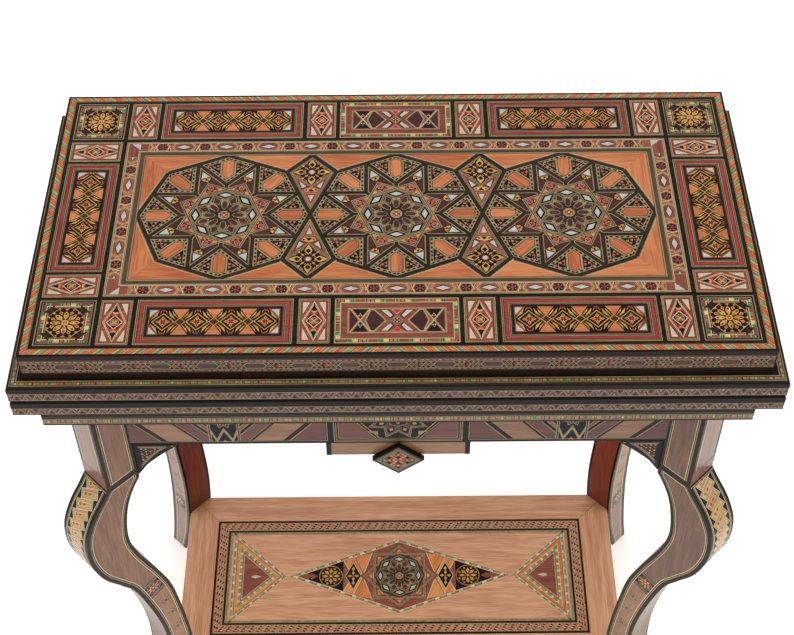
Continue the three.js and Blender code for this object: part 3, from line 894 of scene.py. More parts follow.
def centre_panel(width, height):
    drawing = Drawing()
    left = drawing.rings(panel_outline(width - JOINT, height - JOINT), ("khaki", 0.7), ("straw", 0.4),
                         ("ebony", 0.4))
    left = string_frame(drawing, left, 3.4, STRINGING)
    left = drawing.rings(left, ("straw", 0.6), ("khaki", 0.7), ("maroon", 0.4), ("brick", 5.2),
                         ("khaki", 0.8), ("tan", 0.8))
    half_y = left[2][1]
    drawing.fill("brick", left)
    clipped = drawing.inside(left)
    for half in clipped.halves():
        hexagon = [(9.2, 0), (20.5, -half_y), (24.6, -half_y), (29.8, 0), (24.6, half_y), (20.5, half_y)]
        half.rings(hexagon, ("khaki", 1.4), ("maroon", 9.0))
        outer = half.at(33.6)
        for side in outer.both():
            side.fill("night", [(-7.0, half_y), (0, 1.4), (7.0, half_y)])
            spark(side.at(0, 5.0), 2.1, "gold", "cream")
        outer.fill("maroon", [(2.0, 0), (9.6, half_y), (9.6, -half_y)])
        outer.string("khaki", [(-9.0, half_y), (9.0, -half_y)], 1.6)
        outer.string("khaki", [(-9.0, -half_y), (9.0, half_y)], 1.6)
        outer.string("cream", [(-8.6, half_y), (9.4, -half_y)], 0.4)
        outer.string("cream", [(-9.4, -half_y), (8.6, half_y)], 0.4)
    for corner in clipped.quarters():
        corner.fill("night", [(15.8, half_y - 0.4), (8.0, half_y - 0.4), (2.6, 5.8), (5.8, 2.4)])
        corner.fill("pearl", [(14.6, half_y - 1.2), (8.8, half_y - 1.2), (4.0, 6.0), (6.2, 3.6)])
    for side in clipped.both():
        side.fill("rose", [(-6.0, half_y), (0, 6.8), (6.0, half_y)])
        side.fill("red", [(-3.2, half_y - 0.8), (0, 8.6), (3.2, half_y - 0.8)])
    square = clipped.rings(lozenge(5.8, 5.8), ("khaki", 1.0))
    clipped.fill("night", square)
    clover(clipped, 3.6, "gold", "red")
    return drawing


def frame_rows():
    """Every border panel: name, middle, turn and drawing."""
    for sx, x_name in ((-1, "left"), (1, "right")):
        x = sx * PANEL_X
        for sy, y_name in ((-1, "front"), (1, "back")):
            where = f"{y_name}_{x_name}"
            y = sy * PANEL_Y
            small = lozenge_panel(SMALL, BORDER_Y)
            end = lozenge_panel(SMALL - 1.0, BORDER_X)
            yield f"top_corner_{where}", x, y, 0, corner_panel()
            yield f"top_lozenge_outer_{where}", sx * OUTER_LOZENGE_X, y, 0, small
            yield f"top_lozenge_inner_{where}", sx * INNER_LOZENGE_X, y, 0, small
            yield f"top_lozenge_end_{where}", x, sy * END_LOZENGE_Y, 90, end
            yield f"top_chain_{where}", sx * CHAIN_X, y, 0, chain_panel(LONG_PANEL, BORDER_Y)
        yield f"top_chain_{x_name}", x, 0, 90, chain_panel(SIDE_PANEL, BORDER_X)
    for sy, y_name in ((-1, "front"), (1, "back")):
        yield f"top_centre_{y_name}", 0, sy * PANEL_Y, 0, centre_panel(CENTRE_PANEL, BORDER_Y)

def hull(drawing):
    return drawing.shapes[0][1]


def add_border():
    ground = Drawing()
    ground.fill("ebony", panel_outline(2 * (TOP_X - EDGING) - JOINT, 2 * (TOP_Y - EDGING) - JOINT))
    for name, x, y, turn, drawing in frame_rows():
        lay(name, drawing, level_plane(TOP_LEVEL, turn, x, y), TOP_THICKNESS, "upper_leaf")
        ground.at(x, y, turn).fill(None, offset(hull(drawing), -JOINT))
    ground.fill(None, panel_outline(2 * RING_X + JOINT, 2 * RING_Y + JOINT))
    lay_top("top_ground_bands", ground, replaces=["upper_inlaid_veneer"])
    sides = inward_planes(TOP_LEVEL)
    lay_bars("top_rope", TOP_X, TOP_Y, EDGING, paint_edging, (4, 2), sides, TOP_THICKNESS, "upper_leaf")
    lay_bars("top_guard", RING_X, RING_Y, GUARD, paint_guard, (3, 1), sides, TOP_THICKNESS, "upper_leaf")


# Radii and widths in a medallion whose octagon has the radius above.
APOTHEM = RADIUS * math.cos(math.pi / 8)
KITE_INNER = RADIUS / 2
STAR_TIP = 0.577 * RADIUS
STAR_CROSSING = 0.441 * RADIUS


def medallion_kite(brush):
    edge = (APOTHEM * math.cos(math.pi / 8), APOTHEM * math.sin(math.pi / 8))
    kite = [(RADIUS, 0), edge, (KITE_INNER, 0), (edge[0], -edge[1])]
    inner = offset(kite, STRAP - 0.1)
    inner = brush.rings(inner, ("khaki", LINE))
    inner = string_frame(brush, inner, 1.9, DASHES)
    inner = brush.rings(inner, ("khaki", 0.6))
    brush.fill("night", inner)
    field = brush.inside(inner)
    tip, shoulder, far = KITE_INNER + 9.4, KITE_INNER + 14.6, RADIUS - 8.8
    hexagon = [(tip, 0), (shoulder, -5.4), (far, -5.4), (far + 1.6, 0), (far, 5.4), (shoulder, 5.4)]
    field.fill("khaki", [(tip - 3, 1.2), (tip - 3, -1.2), (shoulder - 1, -7.2), (far + 9, -7.2),
                         (far + 9, 7.2), (shoulder - 1, 7.2)])
    field.fill("ebony", offset(hexagon, -0.6))
    field.fill("salmon", hexagon)
    for side in field.both():
        side.string("khaki", [(shoulder, 7.4), (far + 9, 7.4)], 0.8)
        spark(side.at(edge[0] - 4.6, 9.0), 3.6, "salmon", "tan")
        spark(side.at(edge[0] + 2.8, 8.8), 2.0, "tan", "rose")
        spark(side.at(edge[0] - 1.6, 15.0), 2.0, "tan", "salmon")


def medallion_point(brush):
    """The narrow star point between two kites, along the brush's x."""
    side = (KITE_INNER * math.cos(math.pi / 8), KITE_INNER * math.sin(math.pi / 8))
    region = [(APOTHEM, 0), side, (0, 0), (side[0], -side[1])]
    inner = brush.rings(offset(region, STRAP - 0.4), ("khaki", LINE))
    brush.fill("maroon", inner)
    brush.fill("night", [(55.6, -5.2), (67.4, 0), (55.6, 5.2)])
    brush.fill("pearl", [(56.3, -4.3), (65.6, 0), (56.3, 4.3)])
    brush.fill("night", [(55.0, -6.4), (55.0, 6.4), (49.2, 2.6), (49.2, -2.6)])
    for half in brush.both():
        half.fill("gold", [(54.4, 0.4), (54.4, 4.6), (50.6, 2.4)])
    brush.fill("orange", [(52.0, -1.6), (52.0, 1.6), (49.0, 0)])
    for half in brush.both():
        half.string("khaki", [(55.3, 0), (55.3, 7.0)], 0.5)


def star_core(brush):
    """Eight-point star of khaki lines round a wheel of pearl lozenges and dark petals."""
    star = star_points(8, STAR_TIP, STAR_CROSSING, 22.5)
    brush.fill("brick", star)
    for tip in brush.around(8, 22.5):
        tip.fill("ebony", ring_points(4, 5.4, 0, 39.6))
        tip.fill("rose", ring_points(10, 3.2, 0, 39.9))
        tip.fill("maroon", ring_points(8, 2.2, 0, 39.9))
        clover(tip.at(39.9), 2.2, "rose", "red")
        for half in tip.both():
            half.fill("orange", [(33.4, 12.6), (37.6, 6.0), (34.4, 5.6)])
            half.fill("salmon", [(35.0, 4.6), (36.8, 2.2), (35.0, 0.4)])
    star_wheel(brush)
    chord = STAR_TIP * math.cos(math.pi / 4)
    for side in brush.around(8, 67.5):
        for wood, near, far in (("khaki", 0.0, 2.6), ("strap", 0.9, 1.7)):
            side.fill(wood, [(chord - near, -chord + near), (chord - near, chord - near),
                             (chord - far, chord - far), (chord - far, far - chord)])


def star_wheel(brush):
    """A wheel of pearl lozenges and dark petals round a small flower."""
    brush.fill("strap", ring_points(8, STAR_CROSSING))
    for arm in brush.around(8):
        strap = [(13.2, -3.9), (13.2, 3.9), (21.4, 3.9), (24.0, 0), (21.4, -3.9)]
        arm.fill("khaki", strap)
        arm.fill("khaki", lozenge(7.4, 13.0, 27.6))
        arm.fill("strap", lozenge(6.6, 12.0, 27.6))
        arm.fill("khaki", lozenge(5.9, 11.2, 27.6))
        arm.fill("night", lozenge(5.1, 10.2, 27.6))
        arm.fill("pearl", lozenge(2.8, 6.4, 27.6))
    for gap in brush.around(8, 22.5):
        cell = [(14.4, 0), (19.4, -4.7), (25.4, -2.0), (27.0, 0), (25.4, 2.0), (19.4, 4.7)]
        left = gap.rings(cell, ("strap", 0.3), ("khaki", 0.7))
        gap.fill("maroon", left)
    for arm in brush.around(8):
        petal = [(7.4, 0), (9.8, -3.1), (17.8, -3.1), (20.4, 0), (17.8, 3.1), (9.8, 3.1)]
        left = arm.rings(petal, ("strap", 0.3), ("khaki", 0.5))
        arm.fill("maroon", left)
    brush.fill("khaki", ring_points(8, 6.0, 22.5))
    brush.fill("ebony", ring_points(4, 5.0, 45))
    for row in range(3):
        for column in range(3):
            wood = "red" if (row + column) % 2 else ("cream" if row == column == 1 else "orange")
            chip = brush.at((column - 1) * 2.2, (row - 1) * 2.2)
            chip.fill(wood, panel_outline(1.9, 1.9))


def medallion():
    drawing = Drawing()
    drawing.fill("strap", ring_points(8, RADIUS - JOINT))
    for arm in drawing.around(8, 22.5):
        medallion_point(arm)
    for arm in drawing.around(8):
        medallion_kite(arm)
    star_core(drawing)
    return drawing


def link_kite():
    """The kite between two medallions, its sharp corner at the origin and its axis along +y."""
    side = RADIUS * math.sqrt(0.5)
    outline = [(0, 0), (RADIUS - side, side), (0, RADIUS), (side - RADIUS, side)]
    drawing = Drawing()
    left = drawing.rings(offset(outline, JOINT), ("strap", STRAP), ("khaki", LINE), ("strap", 0.5),
                         ("khaki", 0.5))
    drawing.fill("brick", left)
    field = drawing.inside(left)
    square = field.rings(lozenge(21.5, 21.5, 0, side), ("khaki", 0.7), ("ebony", 0.4), ("khaki", 0.5))
    field.fill("night", square)
    star = field.inside(square).at(0, side)
    for arm in star.around(4, 45):
        arm.string("gold", [(5.5, -2.6), (12.6, -5.4)], 0.9)
        arm.string("gold", [(5.5, 2.6), (12.6, 5.4)], 0.9)
        arm.fill("orange", [(4.6, 0), (7.6, -1.3), (10.4, 0), (7.6, 1.3)])
        arm.fill("gold", [(11.0, 0), (12.6, -1.5), (14.4, 0), (12.6, 1.5)])
        for half in arm.both():
            half.string("tan", [(12.2, 2.2), (13.4, 7.6)], 0.9)
            half.string("cream", [(9.6, 6.4), (12.0, 8.4)], 0.8)
    for arm in star.around(4):
        arm.fill("night", [(4.2, 0), (9.6, -5.0), (13.4, -4.8), (19.2, 0), (13.4, 4.8), (9.6, 5.0)])
        arm.fill("gold", [(5.6, 0), (9.8, -3.6), (12.6, -3.3), (18.6, 0), (12.6, 3.3), (9.8, 3.6)])
        arm.fill("night", [(7.0, 0), (10.2, -2.4), (12.2, -1.6), (13.4, 0), (12.2, 1.6), (10.2, 2.4)])
    star.fill("maroon", ring_points(8, 4.2, 22.5))
    star.fill("tan", ring_points(8, 3.4, 22.5))
    star.fill("pearl", ring_points(8, 2.4))
    for half in field.halves():
        half.fill("maroon", [(3.0, side - 21.0), (14.0, side - 10.5), (9.5, side - 25.0)])
        half.fill("pearl", [(5.0, side - 20.0), (12.0, side - 13.0), (9.2, side - 23.0)])
        half.string("khaki", [(0.6, side - 24.5), (9.6, side - 29.5)], 0.6)
    field.fill("gold", [(-7.4, 34.6), (-4.6, 31.0), (4.6, 31.0), (7.4, 34.6), (0, 37.4)])
    field.fill("night", [(-3.4, 31.6), (3.4, 31.6), (0, 35.8)])
    field.fill("night", [(-6.2, 34.2), (-4.4, 31.8), (-3.8, 34.6)])
    field.fill("night", [(6.2, 34.2), (3.8, 34.6), (4.4, 31.8)])
    triangle = [(-6.2, 29.0), (0, 11.0), (6.2, 29.0)]
    left = field.rings(triangle, ("khaki", 0.6), ("red", 1.0))
    field.fill("brick", left)
    field.fill("pearl", [(-2.9, 26.4), (0, 17.6), (2.9, 26.4)])
    field.string("khaki", [(0, 3.0), (0, 10.5)], 0.5)
    return drawing


def field_piece(outline, straps, grain):
    """Plain salmon veneer with half a strap along some of its edges, counted round the outline."""
    drawing = Drawing()
    drawing.fill("salmon", offset(outline, JOINT), grain)
    clipped = drawing.inside(offset(outline, JOINT))
    for edge in straps:
        a, b = outline[edge], outline[(edge + 1) % len(outline)]
        clipped.ribbon("cream", [a, b], -1, STRAP + LINE + 0.5)
        clipped.ribbon("strap", [a, b], -1, STRAP + LINE + 0.1)
        clipped.ribbon("khaki", [a, b], -1, STRAP + LINE - 0.2)
        clipped.ribbon("strap", [a, b], -1, STRAP)
    return drawing


def add_field():
    side = RADIUS * math.sqrt(0.5)
    for number, x in enumerate((-2 * RADIUS, 0.0, 2 * RADIUS)):
        plain = level_plane(TOP_LEVEL, 0, x)
        lay(f"top_medallion_{number + 1}", medallion(), plain, TOP_THICKNESS, "upper_leaf")
    for x_name, x in (("left", -RADIUS), ("right", RADIUS)):
        for y_name, turn in (("back", 0), ("front", 180)):
            place = level_plane(TOP_LEVEL, turn, x)
            lay(f"top_link_{y_name}_{x_name}", link_kite(), place, TOP_THICKNESS, "upper_leaf")
    triangle = [(0, RADIUS), (side, side), (RADIUS, RADIUS)]
    corner_long = [(0, RADIUS), (-RADIUS, RADIUS), (-side, side)]
    corner_short = [(-RADIUS, RADIUS), (-RADIUS, 0), (-side, side)]
    number = 0
    for x in (-2 * RADIUS, 0.0, 2 * RADIUS):
        for sx in (1, -1):
            for sy in (1, -1):
                number += 1
                is_end = x * sx > 0
                shapes = [(corner_long, [2], 0), (corner_short, [1], 90)] if is_end else [
                    (triangle, [0, 1], 0)]
                for part, (points, straps, grain) in enumerate(shapes):
                    flip_x = -sx if is_end else sx
                    points = [(x + flip_x * px, sy * py) for px, py in points]
                    if area(points) < 0:
                        count = len(points)
                        points = points[::-1]
                        straps = [(count - 2 - edge) % count for edge in straps]
                    drawing = field_piece(points, straps, grain)
                    lay_top(f"top_field_{number}_{part + 1}", drawing)


# ---- Sides of the leaves --------------------------------------------------------------------------
SIDE_VENEER = 0.8
SLAB_STRIPS = (   # distances below the upper slab's top, and woods
    (6.0, 6.8, "olive"), (7.4, 9.8, "brick"), (10.4, 11.0, "khaki"),
    (19.6, 20.2, "khaki"), (20.8, 22.6, "brick"), (23.2, 24.0, "olive"),
)

def add_slab_veneers(leaf, half_x, half_y, low, height, paint):
    """Veneers on a slab's four sides; the long ones cover the ends of the short ones."""
    for side, turn in SIDES.items():
        along, across = side_sizes(turn, half_x, half_y)
        half = along + (SIDE_VENEER if turn % 180 == 0 else 0)
        drawing = Drawing()
        drawing.fill("ebony", box(-half, 0, half, height))
        paint(drawing, half, height)
        lay(f"{leaf}_slab_{side}_inlay", drawing, facing(turn, across + SEAT, low), SIDE_VENEER,
            f"{leaf}_leaf")

def paint_upper_slab(brush, half, height):
    """Long maroon lozenges between two specked strings, with black ends."""
    for low_edge, high_edge, wood in SLAB_STRIPS:
        brush.fill(wood, box(-half, height - high_edge, half, height - low_edge))
    brush.segments((-half, height - 8.6), (half, height - 8.6), 1.2, SPECKS)
    brush.segments((-half, height - 21.7), (half, height - 21.7), 0.9, SPECKS)
    band = brush.at(0, height - 15.3).inside(box(-half, -4.3, half, 4.3))
    lattice_run(band, half, 4.3)
    brush.fill("ebony", box(-half, 0, 1.2 - half, height))
    brush.fill("ebony", box(half - 1.2, 0, half, height))

def paint_lower_slab(brush, half, _):
    """One fine string near the lower edge, and an olive line above it."""
    brush.fill("khaki", box(-half, 2.0, half, 9.6))
    brush.segments((-half, 5.8), (half, 5.8), 4.6, FINE_STRING)
    for edge in (3.0, 8.2):
        brush.fill("strap", box(-half, edge, half, edge + 0.4))
    brush.fill("olive", box(-half, 11.4, half, 12.2))

def add_slab_sides():
    low, _ = cad("upper_slab_frame")
    add_slab_veneers("upper", TOP_X, TOP_Y, low.z, top_high.z - low.z - 0.2, paint_upper_slab)
    low, _ = cad("lower_slab_board")
    _, high = cad("lower_slab_frame")
    add_slab_veneers("lower", high.x, high.y, low.z, high.z - low.z, paint_lower_slab)

RIM_GROOVES = {"upper": (2.7, 12.2), "lower": (2.7, 11.4)}   # as cut in the rims, above their underside
GROOVE_DEPTH = 0.8
LEDGE_GROOVE = (2.8, 9.2)


def add_rim_bands():
    for leaf, (groove_low, groove_high) in RIM_GROOVES.items():
        low, high = cad(f"{leaf}_rim_front")
        half_x, half_y = high.x, -low.y
        half_height = (groove_high - groove_low) / 2 - 0.05
        for side, turn in SIDES.items():
            along, across = side_sizes(turn, half_x, half_y)
            half = along - GROOVE_DEPTH - 0.1
            drawing = Drawing()
            clipped = drawing.inside(box(-half, -half_height, half, half_height))
            zigzag_run(clipped, half, half_height)
            middle = low.z + (groove_low + groove_high) / 2
            place = facing(turn, across - GROOVE_DEPTH + SEAT, middle)
            lay(f"{leaf}_rim_{side}_inlay", drawing, place, GROOVE_DEPTH - 2 * SEAT, f"{leaf}_leaf")
    low, high = cad("upper_rim_front")
    near, far = LEDGE_GROOVE
    half_x, half_y = high.x - near - 0.05, -low.y - near - 0.05
    width = far - near - 0.1

    def paint(brush, half_length, start, end):
        brush.fill("khaki", box(start, 0, end, width))
        brush.segments((start, width / 2), (end, width / 2), 2.6, FINE_STRING)
        for edge in (0.9, width - 2.0):
            brush.fill("ebony", box(start, edge, end, edge + 0.8))

    sides = inward_planes(high.z - GROOVE_DEPTH + SEAT)
    lay_bars("ledge_string", half_x, half_y, width, paint, (4, 2), sides, GROOVE_DEPTH - 2 * SEAT,
             "upper_leaf")


# ---- Aprons, brackets, drops and pendants ---------------------------------------------------------
APRON_VENEER = 0.7
BRACKET_LENGTH, BRACKET_HEIGHT = 42.5, 49.5


def half_star(brush, radius):
    """An eight-point star of khaki lines with small dark fans, seen in the aprons."""
    left = brush.rings(star_points(8, radius, radius * 0.62, 22.5), ("khaki", 0.9), ("night", 0.6),
                       ("khaki", 0.7))
    brush.fill("maroon", left)
    for arm in brush.around(8, 22.5):
        arm.fill("night", [(radius * 0.3, 0), (radius * 0.62, -radius * 0.13), (radius * 0.78, 0),
                           (radius * 0.62, radius * 0.13)])
        arm.fill("orange", lozenge(radius * 0.09, radius * 0.07, radius * 0.55))
    brush.rings(ring_points(8, radius * 0.36), ("khaki", 0.8), ("night", radius * 0.1))
    clover(brush, radius * 0.25, "orange", "cream")


def apron_section(half_length, height):
    """One framed length of an apron, centred on its star."""
    drawing = Drawing()
    outline = box(-half_length, 0, half_length, height)
    left = drawing.rings(outline, ("ebony", 3.6), ("khaki", 0.8), ("ebony", 0.6))
    drawing.fill("plum", left)
    field = drawing.inside(left).at(0, height / 2)
    rise = height / 2
    lean = 0.82 * rise

    def slanted(brush, wood, near, far):
        brush.fill(wood, [(near + lean, 0), (far + lean, 0), (far, rise), (near, rise)])

    for half in field.halves():
        for side in half.both():
            slanted(side, "khaki", -20, 61.2)
            slanted(side, "strap", -20, 59.8)
            slanted(side, "tan", 23.5, 53.5)
            slanted(side, "khaki", -20, 20.4)
            slanted(side, "plum", -20, 19.2)
            for point, wood in ((36.0, "khaki"), (34.6, "night"), (30.4, "gold"), (29.4, "brick"),
                                (25.4, "khaki"), (24.2, "night"), (21.0, "orange")):
                slanted(side, wood, -20, point - lean)
    square = min(16.0, half_length / 3)
    frame_box = field.rings(box(-square, -rise, square, rise), ("khaki", 1.2), ("ebony", 1.0),
                            ("khaki", 0.8))
    field.fill("night", frame_box)
    star = field.inside(frame_box)
    for half in star.both():
        for line in (0.0, 3.0):
            path = [(-square, 10.0 - line), (-square / 2, rise - 4.0 - line), (0, 16.0 - line),
                    (square / 2, rise - 4.0 - line), (square, 10.0 - line)]
            half.string("khaki", path, 1.3)
        half.fill("orange", [(-3.6, rise - 1.0), (0, rise - 7.0), (3.6, rise - 1.0)])
        half.fill("night", [(-1.8, rise - 1.0), (0, rise - 4.0), (1.8, rise - 1.0)])
        for side in half.halves():
            side.fill("brick", [(9.2, rise - 1.0), (13.4, rise - 8.0), (13.4, rise - 1.0)])
    half_star(field, 13.0)
    return drawing


def apron_centre(half_length, height):
    drawing = Drawing()
    left = drawing.rings(box(-half_length, 0, half_length, height), ("ebony", 2.4), ("khaki", 1.0),
                         ("ebony", 1.0), ("khaki", 1.0), ("ebony", 1.4), ("khaki", 0.7))
    drawing.fill("plum", left)
    field = drawing.inside(left).at(0, height / 2)
    rise = height / 2
    for half in field.halves():
        for side in half.both():
            side.fill("ebony", [(18, rise), (0, rise), (0, 0), (46, 0)])
            side.string("khaki", [(16.5, rise), (44.5, 0)], 1.0)
            side.string("gold", [(12.5, rise), (40.5, 0)], 0.9)
            side.fill("brick", [(14, rise - 2.0), (22, rise - 10), (7, rise - 6), (4, rise - 2.0)])
            side.fill("khaki", [(20, rise - 13), (30, rise - 19), (20, rise - 19)])
    half_star(field, rise * 0.84)
    return drawing


def add_aprons():
    low, high = cad("front_apron")
    bottom, top = low.z + 0.8, high.z - 0.2
    height = top - bottom
    half_long = high.x - 1.2
    half_short = cad("right_apron")[1].y - 1.2
    across_long, across_short = -low.y, cad("right_apron")[1].x
    centre = 66.5
    for side, turn in SIDES.items():
        if turn % 180 == 0:
            place = facing(turn, across_long + SEAT, bottom)
            lay(f"{side}_apron_centre_inlay", apron_centre(centre - JOINT, height), place,
                APRON_VENEER, "stand")
            half = (half_long - centre) / 2 - JOINT
            for word, sign in (("left", -1), ("right", 1)):
                shift = sign * (half_long + centre) / 2
                lay(f"{side}_apron_{word}_inlay", apron_section(half, height), shifted(place, shift),
                    APRON_VENEER, "stand")
        else:
            place = facing(turn, across_short + SEAT, bottom)
            lay(f"{side}_apron_inlay", apron_section(half_short, height), place, APRON_VENEER, "stand")


def bracket_drawing(length, height):
    """A corner bracket seen from outside, its square corner at the origin's upper left."""
    curve = [(length * t, -height * (1 - t) ** 1.55 - 3.0 * t) for t in [i / 8 for i in range(9)]]
    outline = [(0, 0), *curve, (length, 0)]
    drawing = Drawing()
    drawing.fill("night", outline)
    pitch = 4.6
    for row in range(9):
        for column in range(9):
            spot = drawing.at(7.0 + column * pitch, -6.4 - row * pitch, 45)
            wood = ("orange", "khaki", "brick", "gold")[(column + 2 * row) % 4]
            spot.fill(wood, panel_outline(2.3, 2.3))
            spot.at(pitch * 0.71, 0).fill("tan" if row % 2 else "red", panel_outline(1.2, 1.2))
    path = [*outline, *outline[:2]]
    for wood, width in (("strap", 5.6), ("khaki", 5.0), ("strap", 4.0), ("khaki", 3.6), ("ebony", 2.8)):
        drawing.ribbon(wood, path, 0.0, width)
    return drawing


def add_brackets():
    for side, turn in SIDES.items():
        for end in "ab":
            low, high = cad(f"{side}_bracket_{end}")
            turned = Matrix.Rotation(math.radians(-turn), 3, "Z")
            corners = [turned @ Vector((x, y, 0)) for x in (low.x, high.x) for y in (low.y, high.y)]
            outer = max((c.x for c in corners), key=abs)
            across = -min(c.y for c in corners)
            sign = 1 if outer < 0 else -1
            drawing = bracket_drawing(BRACKET_LENGTH, BRACKET_HEIGHT)
            if sign < 0:
                drawing = drawing.mirrored()
            place = shifted(facing(turn, across + SEAT, high.z - 0.1), outer + sign * 12.6)
            lay(f"{side}_bracket_{end}_inlay", drawing, place, APRON_VENEER, "stand")

def pendant_drawing(half_x, half_z):
    """A diamond of small lozenges in an olive and khaki frame."""
    drawing = Drawing()
    left = drawing.rings(lozenge(half_x - 0.2, half_z - 0.2), ("ebony", 1.6), ("olive", 1.8),
                         ("khaki", 0.6), ("olive", 1.2), ("khaki", 0.6))
    drawing.fill("night", left)
    mosaic = drawing.inside(left)
    for row in range(-3, 4):
        for column in range(-3, 4):
            chip = mosaic.at((column - row) * 2.3, (column + row) * 2.3)
            wood = ("orange", "night", "brick", "orange")[(row * column) % 4]
            chip.fill(wood, lozenge(1.9, 1.9))
    for arm in mosaic.around(4, 45):
        arm.fill("khaki", lozenge(1.6, 0.8, 5.6))
    mosaic.fill("red", lozenge(1.8, 1.8))
    return drawing

def add_drop_caps(side, turn):
    """Black caps on both ends of the plain block under an apron."""
    low, high = cad(f"{side}_drop_block")
    face = facing(turn, max(abs(low.y), abs(high.y)) + SEAT, (low.z + high.z) / 2)
    for word, sign in (("left", -1), ("right", 1)):
        cap = Drawing()
        cap.fill("ebony", panel_outline(5.0, high.z - low.z - 0.4))
        lay(f"{side}_drop_{word}_cap", cap, shifted(face, sign * (high.x - 2.6)), 0.5, "stand")

def add_pendants():
    for side, turn in (("front", 0), ("back", 180)):
        low, high = cad(f"{side}_pendant")
        place = facing(turn, max(abs(low.y), abs(high.y)) + SEAT, (low.z + high.z) / 2)
        lay(f"{side}_pendant_inlay", pendant_drawing(high.x, (high.z - low.z) / 2), place,
            APRON_VENEER, "stand")
        add_drop_caps(side, turn)

# ---- Legs -----------------------------------------------------------------------------------------
# A leg's side outline: distance outwards from the post's outer edge, and height.
LEG_INNER = [(-39, 544), (-29, 532), (-19, 513), (-12, 484), (-10.5, 456), (-16, 427), (-26, 395),
             (-37, 362), (-48, 321), (-54.5, 268), (-59, 215), (-60, 175), (-55.5, 118), (-45, 60),
             (-28, 0)]
LEG_OUTER = [(-2, 0), (-12, 50), (-21, 111), (-26.5, 165), (-27.5, 225), (-19.5, 285), (-2.8, 356),
             (12, 388), (28.5, 419), (37.5, 449), (40.3, 475), (38, 499), (32, 515), (22, 531),
             (10, 544), (0, 556)]
POST_HALF = 19.5
LEG_X, LEG_Y = cad("right_apron")[1].x, -cad("front_apron")[0].y   # the middles of the posts
LEG_HALF_THICKNESS = 19.25
EDGE_VENEER = 0.6
FACE_VENEER = 0.7


def smooth_path(points, steps=5):
    """A Catmull-Rom curve through the points."""
    padded = [points[0], *points, points[-1]]
    path = []
    for a, b, c, d in zip(padded, padded[1:], padded[2:], padded[3:]):
        for step in range(steps):
            t = step / steps
            weights = (-t + 2 * t * t - t ** 3, 2 - 5 * t * t + 3 * t ** 3,
                       t + 4 * t * t - 3 * t ** 3, t ** 3 - t * t)
            path.append(tuple(sum(w * p[k] for w, p in zip(weights, (a, b, c, d))) / 2 for k in (0, 1)))
    return path + [points[-1]]


class Path:
    """A polyline with its running length, for wrapping a veneer round an edge."""

    def __init__(self, points):
        self.points = points
        self.cache = {}
        self.marks = [0.0]
        for (ax, ay), (bx, by) in zip(points, points[1:]):
            self.marks.append(self.marks[-1] + math.hypot(bx - ax, by - ay))

    def at(self, distance, lift):
        """The point at a running distance, moved to the path's left by lift."""
        lifted = self.lifted(lift)
        index = 0
        while index < len(self.marks) - 2 and self.marks[index + 1] < distance - 1e-6:
            index += 1
        share = (distance - self.marks[index]) / (self.marks[index + 1] - self.marks[index])
        (ax, ay), (bx, by) = lifted[index], lifted[index + 1]
        return ax + (bx - ax) * share, ay + (by - ay) * share

    def lifted(self, lift):
        key = round(lift, 6)
        if key not in self.cache:
            self.cache[key] = offset(self.points, key, False)
        return self.cache[key]


def leg_square(brush):
    """The dark square with an orange flower set across a leg."""
    brush.rings(panel_outline(64, 33), ("strap", 1.6), ("khaki", 0.9), ("strap", 0.8), ("walnut", 12))
    left = brush.rings(panel_outline(27, 27), ("khaki", 1.0), ("strap", 1.0), ("khaki", 0.6))
    brush.fill("night", left)
    brush.fill("khaki", ring_points(12, 10.2))
    brush.fill("maroon", ring_points(12, 9.5))
    for arm in brush.around(8, 22.5):
        arm.fill("orange", [(2.4, 0), (5.4, -1.6), (8.8, 0), (5.4, 1.6)])
    brush.fill("red", ring_points(8, 2.6))
    brush.fill("cream", ring_points(6, 1.2))


def leg_face(top):
    """The broad side of a leg, painted over its whole outline."""
    inner = [(-39, top), *smooth_path(LEG_INNER)]
    outer = [*smooth_path(LEG_OUTER), (0, top)]
    drawing = Drawing()
    drawing.fill("walnut", inner + outer, 90)
    drawing.fill("tan", [(-46, 348), (2, 348), (0, 330), (-10, 300), (-20, 250), (-18, 140), (-66, 128),
                         (-66, 250), (-56, 300)], 80)
    for x, y, turn in ((-24.5, 341, -15), (-37.5, 132, 9)):
        leg_square(drawing.at(x, y, turn))
    for y, x, turn in ((300, -36, -12), (268, -41, -6), (232, -43, 0), (196, -43.5, 2), (164, -42, 5)):
        cluster = drawing.at(x, y, turn)
        for dx, dy, wood in ((-4.4, -2.4, "green"), (4.4, -2.4, "green"), (0, 5, "orange"),
                             (-4.4, 3.4, "green"), (4.4, 3.4, "green"), (0, -0.6, "olive")):
            cluster.fill("strap", ring_points(6, 1.9, 0, dx, dy))
            cluster.fill(wood, ring_points(6, 1.3, 0, dx, dy))
    drawing.fill("ebony", box(-40, top - 4, 1, top))
    for path, width in ((inner, 4.2), (outer, 4.8)):
        drawing.ribbon("cream", path, 0.0, width + 2.8)
        drawing.ribbon("strap", path, 0.0, width + 2.0)
        drawing.ribbon("khaki", path, 0.0, width + 1.0)
        drawing.ribbon("strap", path, 0.0, width)
    for y in (551.4, 562.6):
        drawing.fill("cream", box(-33, y - 0.5, -6, y + 0.5))
    drawing.fill("strap", box(-38, 552.6, -2, 561.4))
    return drawing


def knee_brick(brush):
    """One cream-edged brick of the knee mosaic, its length along the brush's x."""
    brush.fill("straw", brush.rings(panel_outline(22.6, 11.1), ("cream", 0.8), ("ebony", 0.4)))
    for row in brush.both():
        row.fill("orange", box(-9.2, 2.2, 9.2, 3.9))
        row.fill("night", [(-5.8, 1.6), (-3.2, 0.3), (-7.4, 0.3)])
        row.fill("green", [(5.8, 1.6), (3.2, 0.3), (7.4, 0.3)])
    brush.fill("red", lozenge(3.0, 1.3))

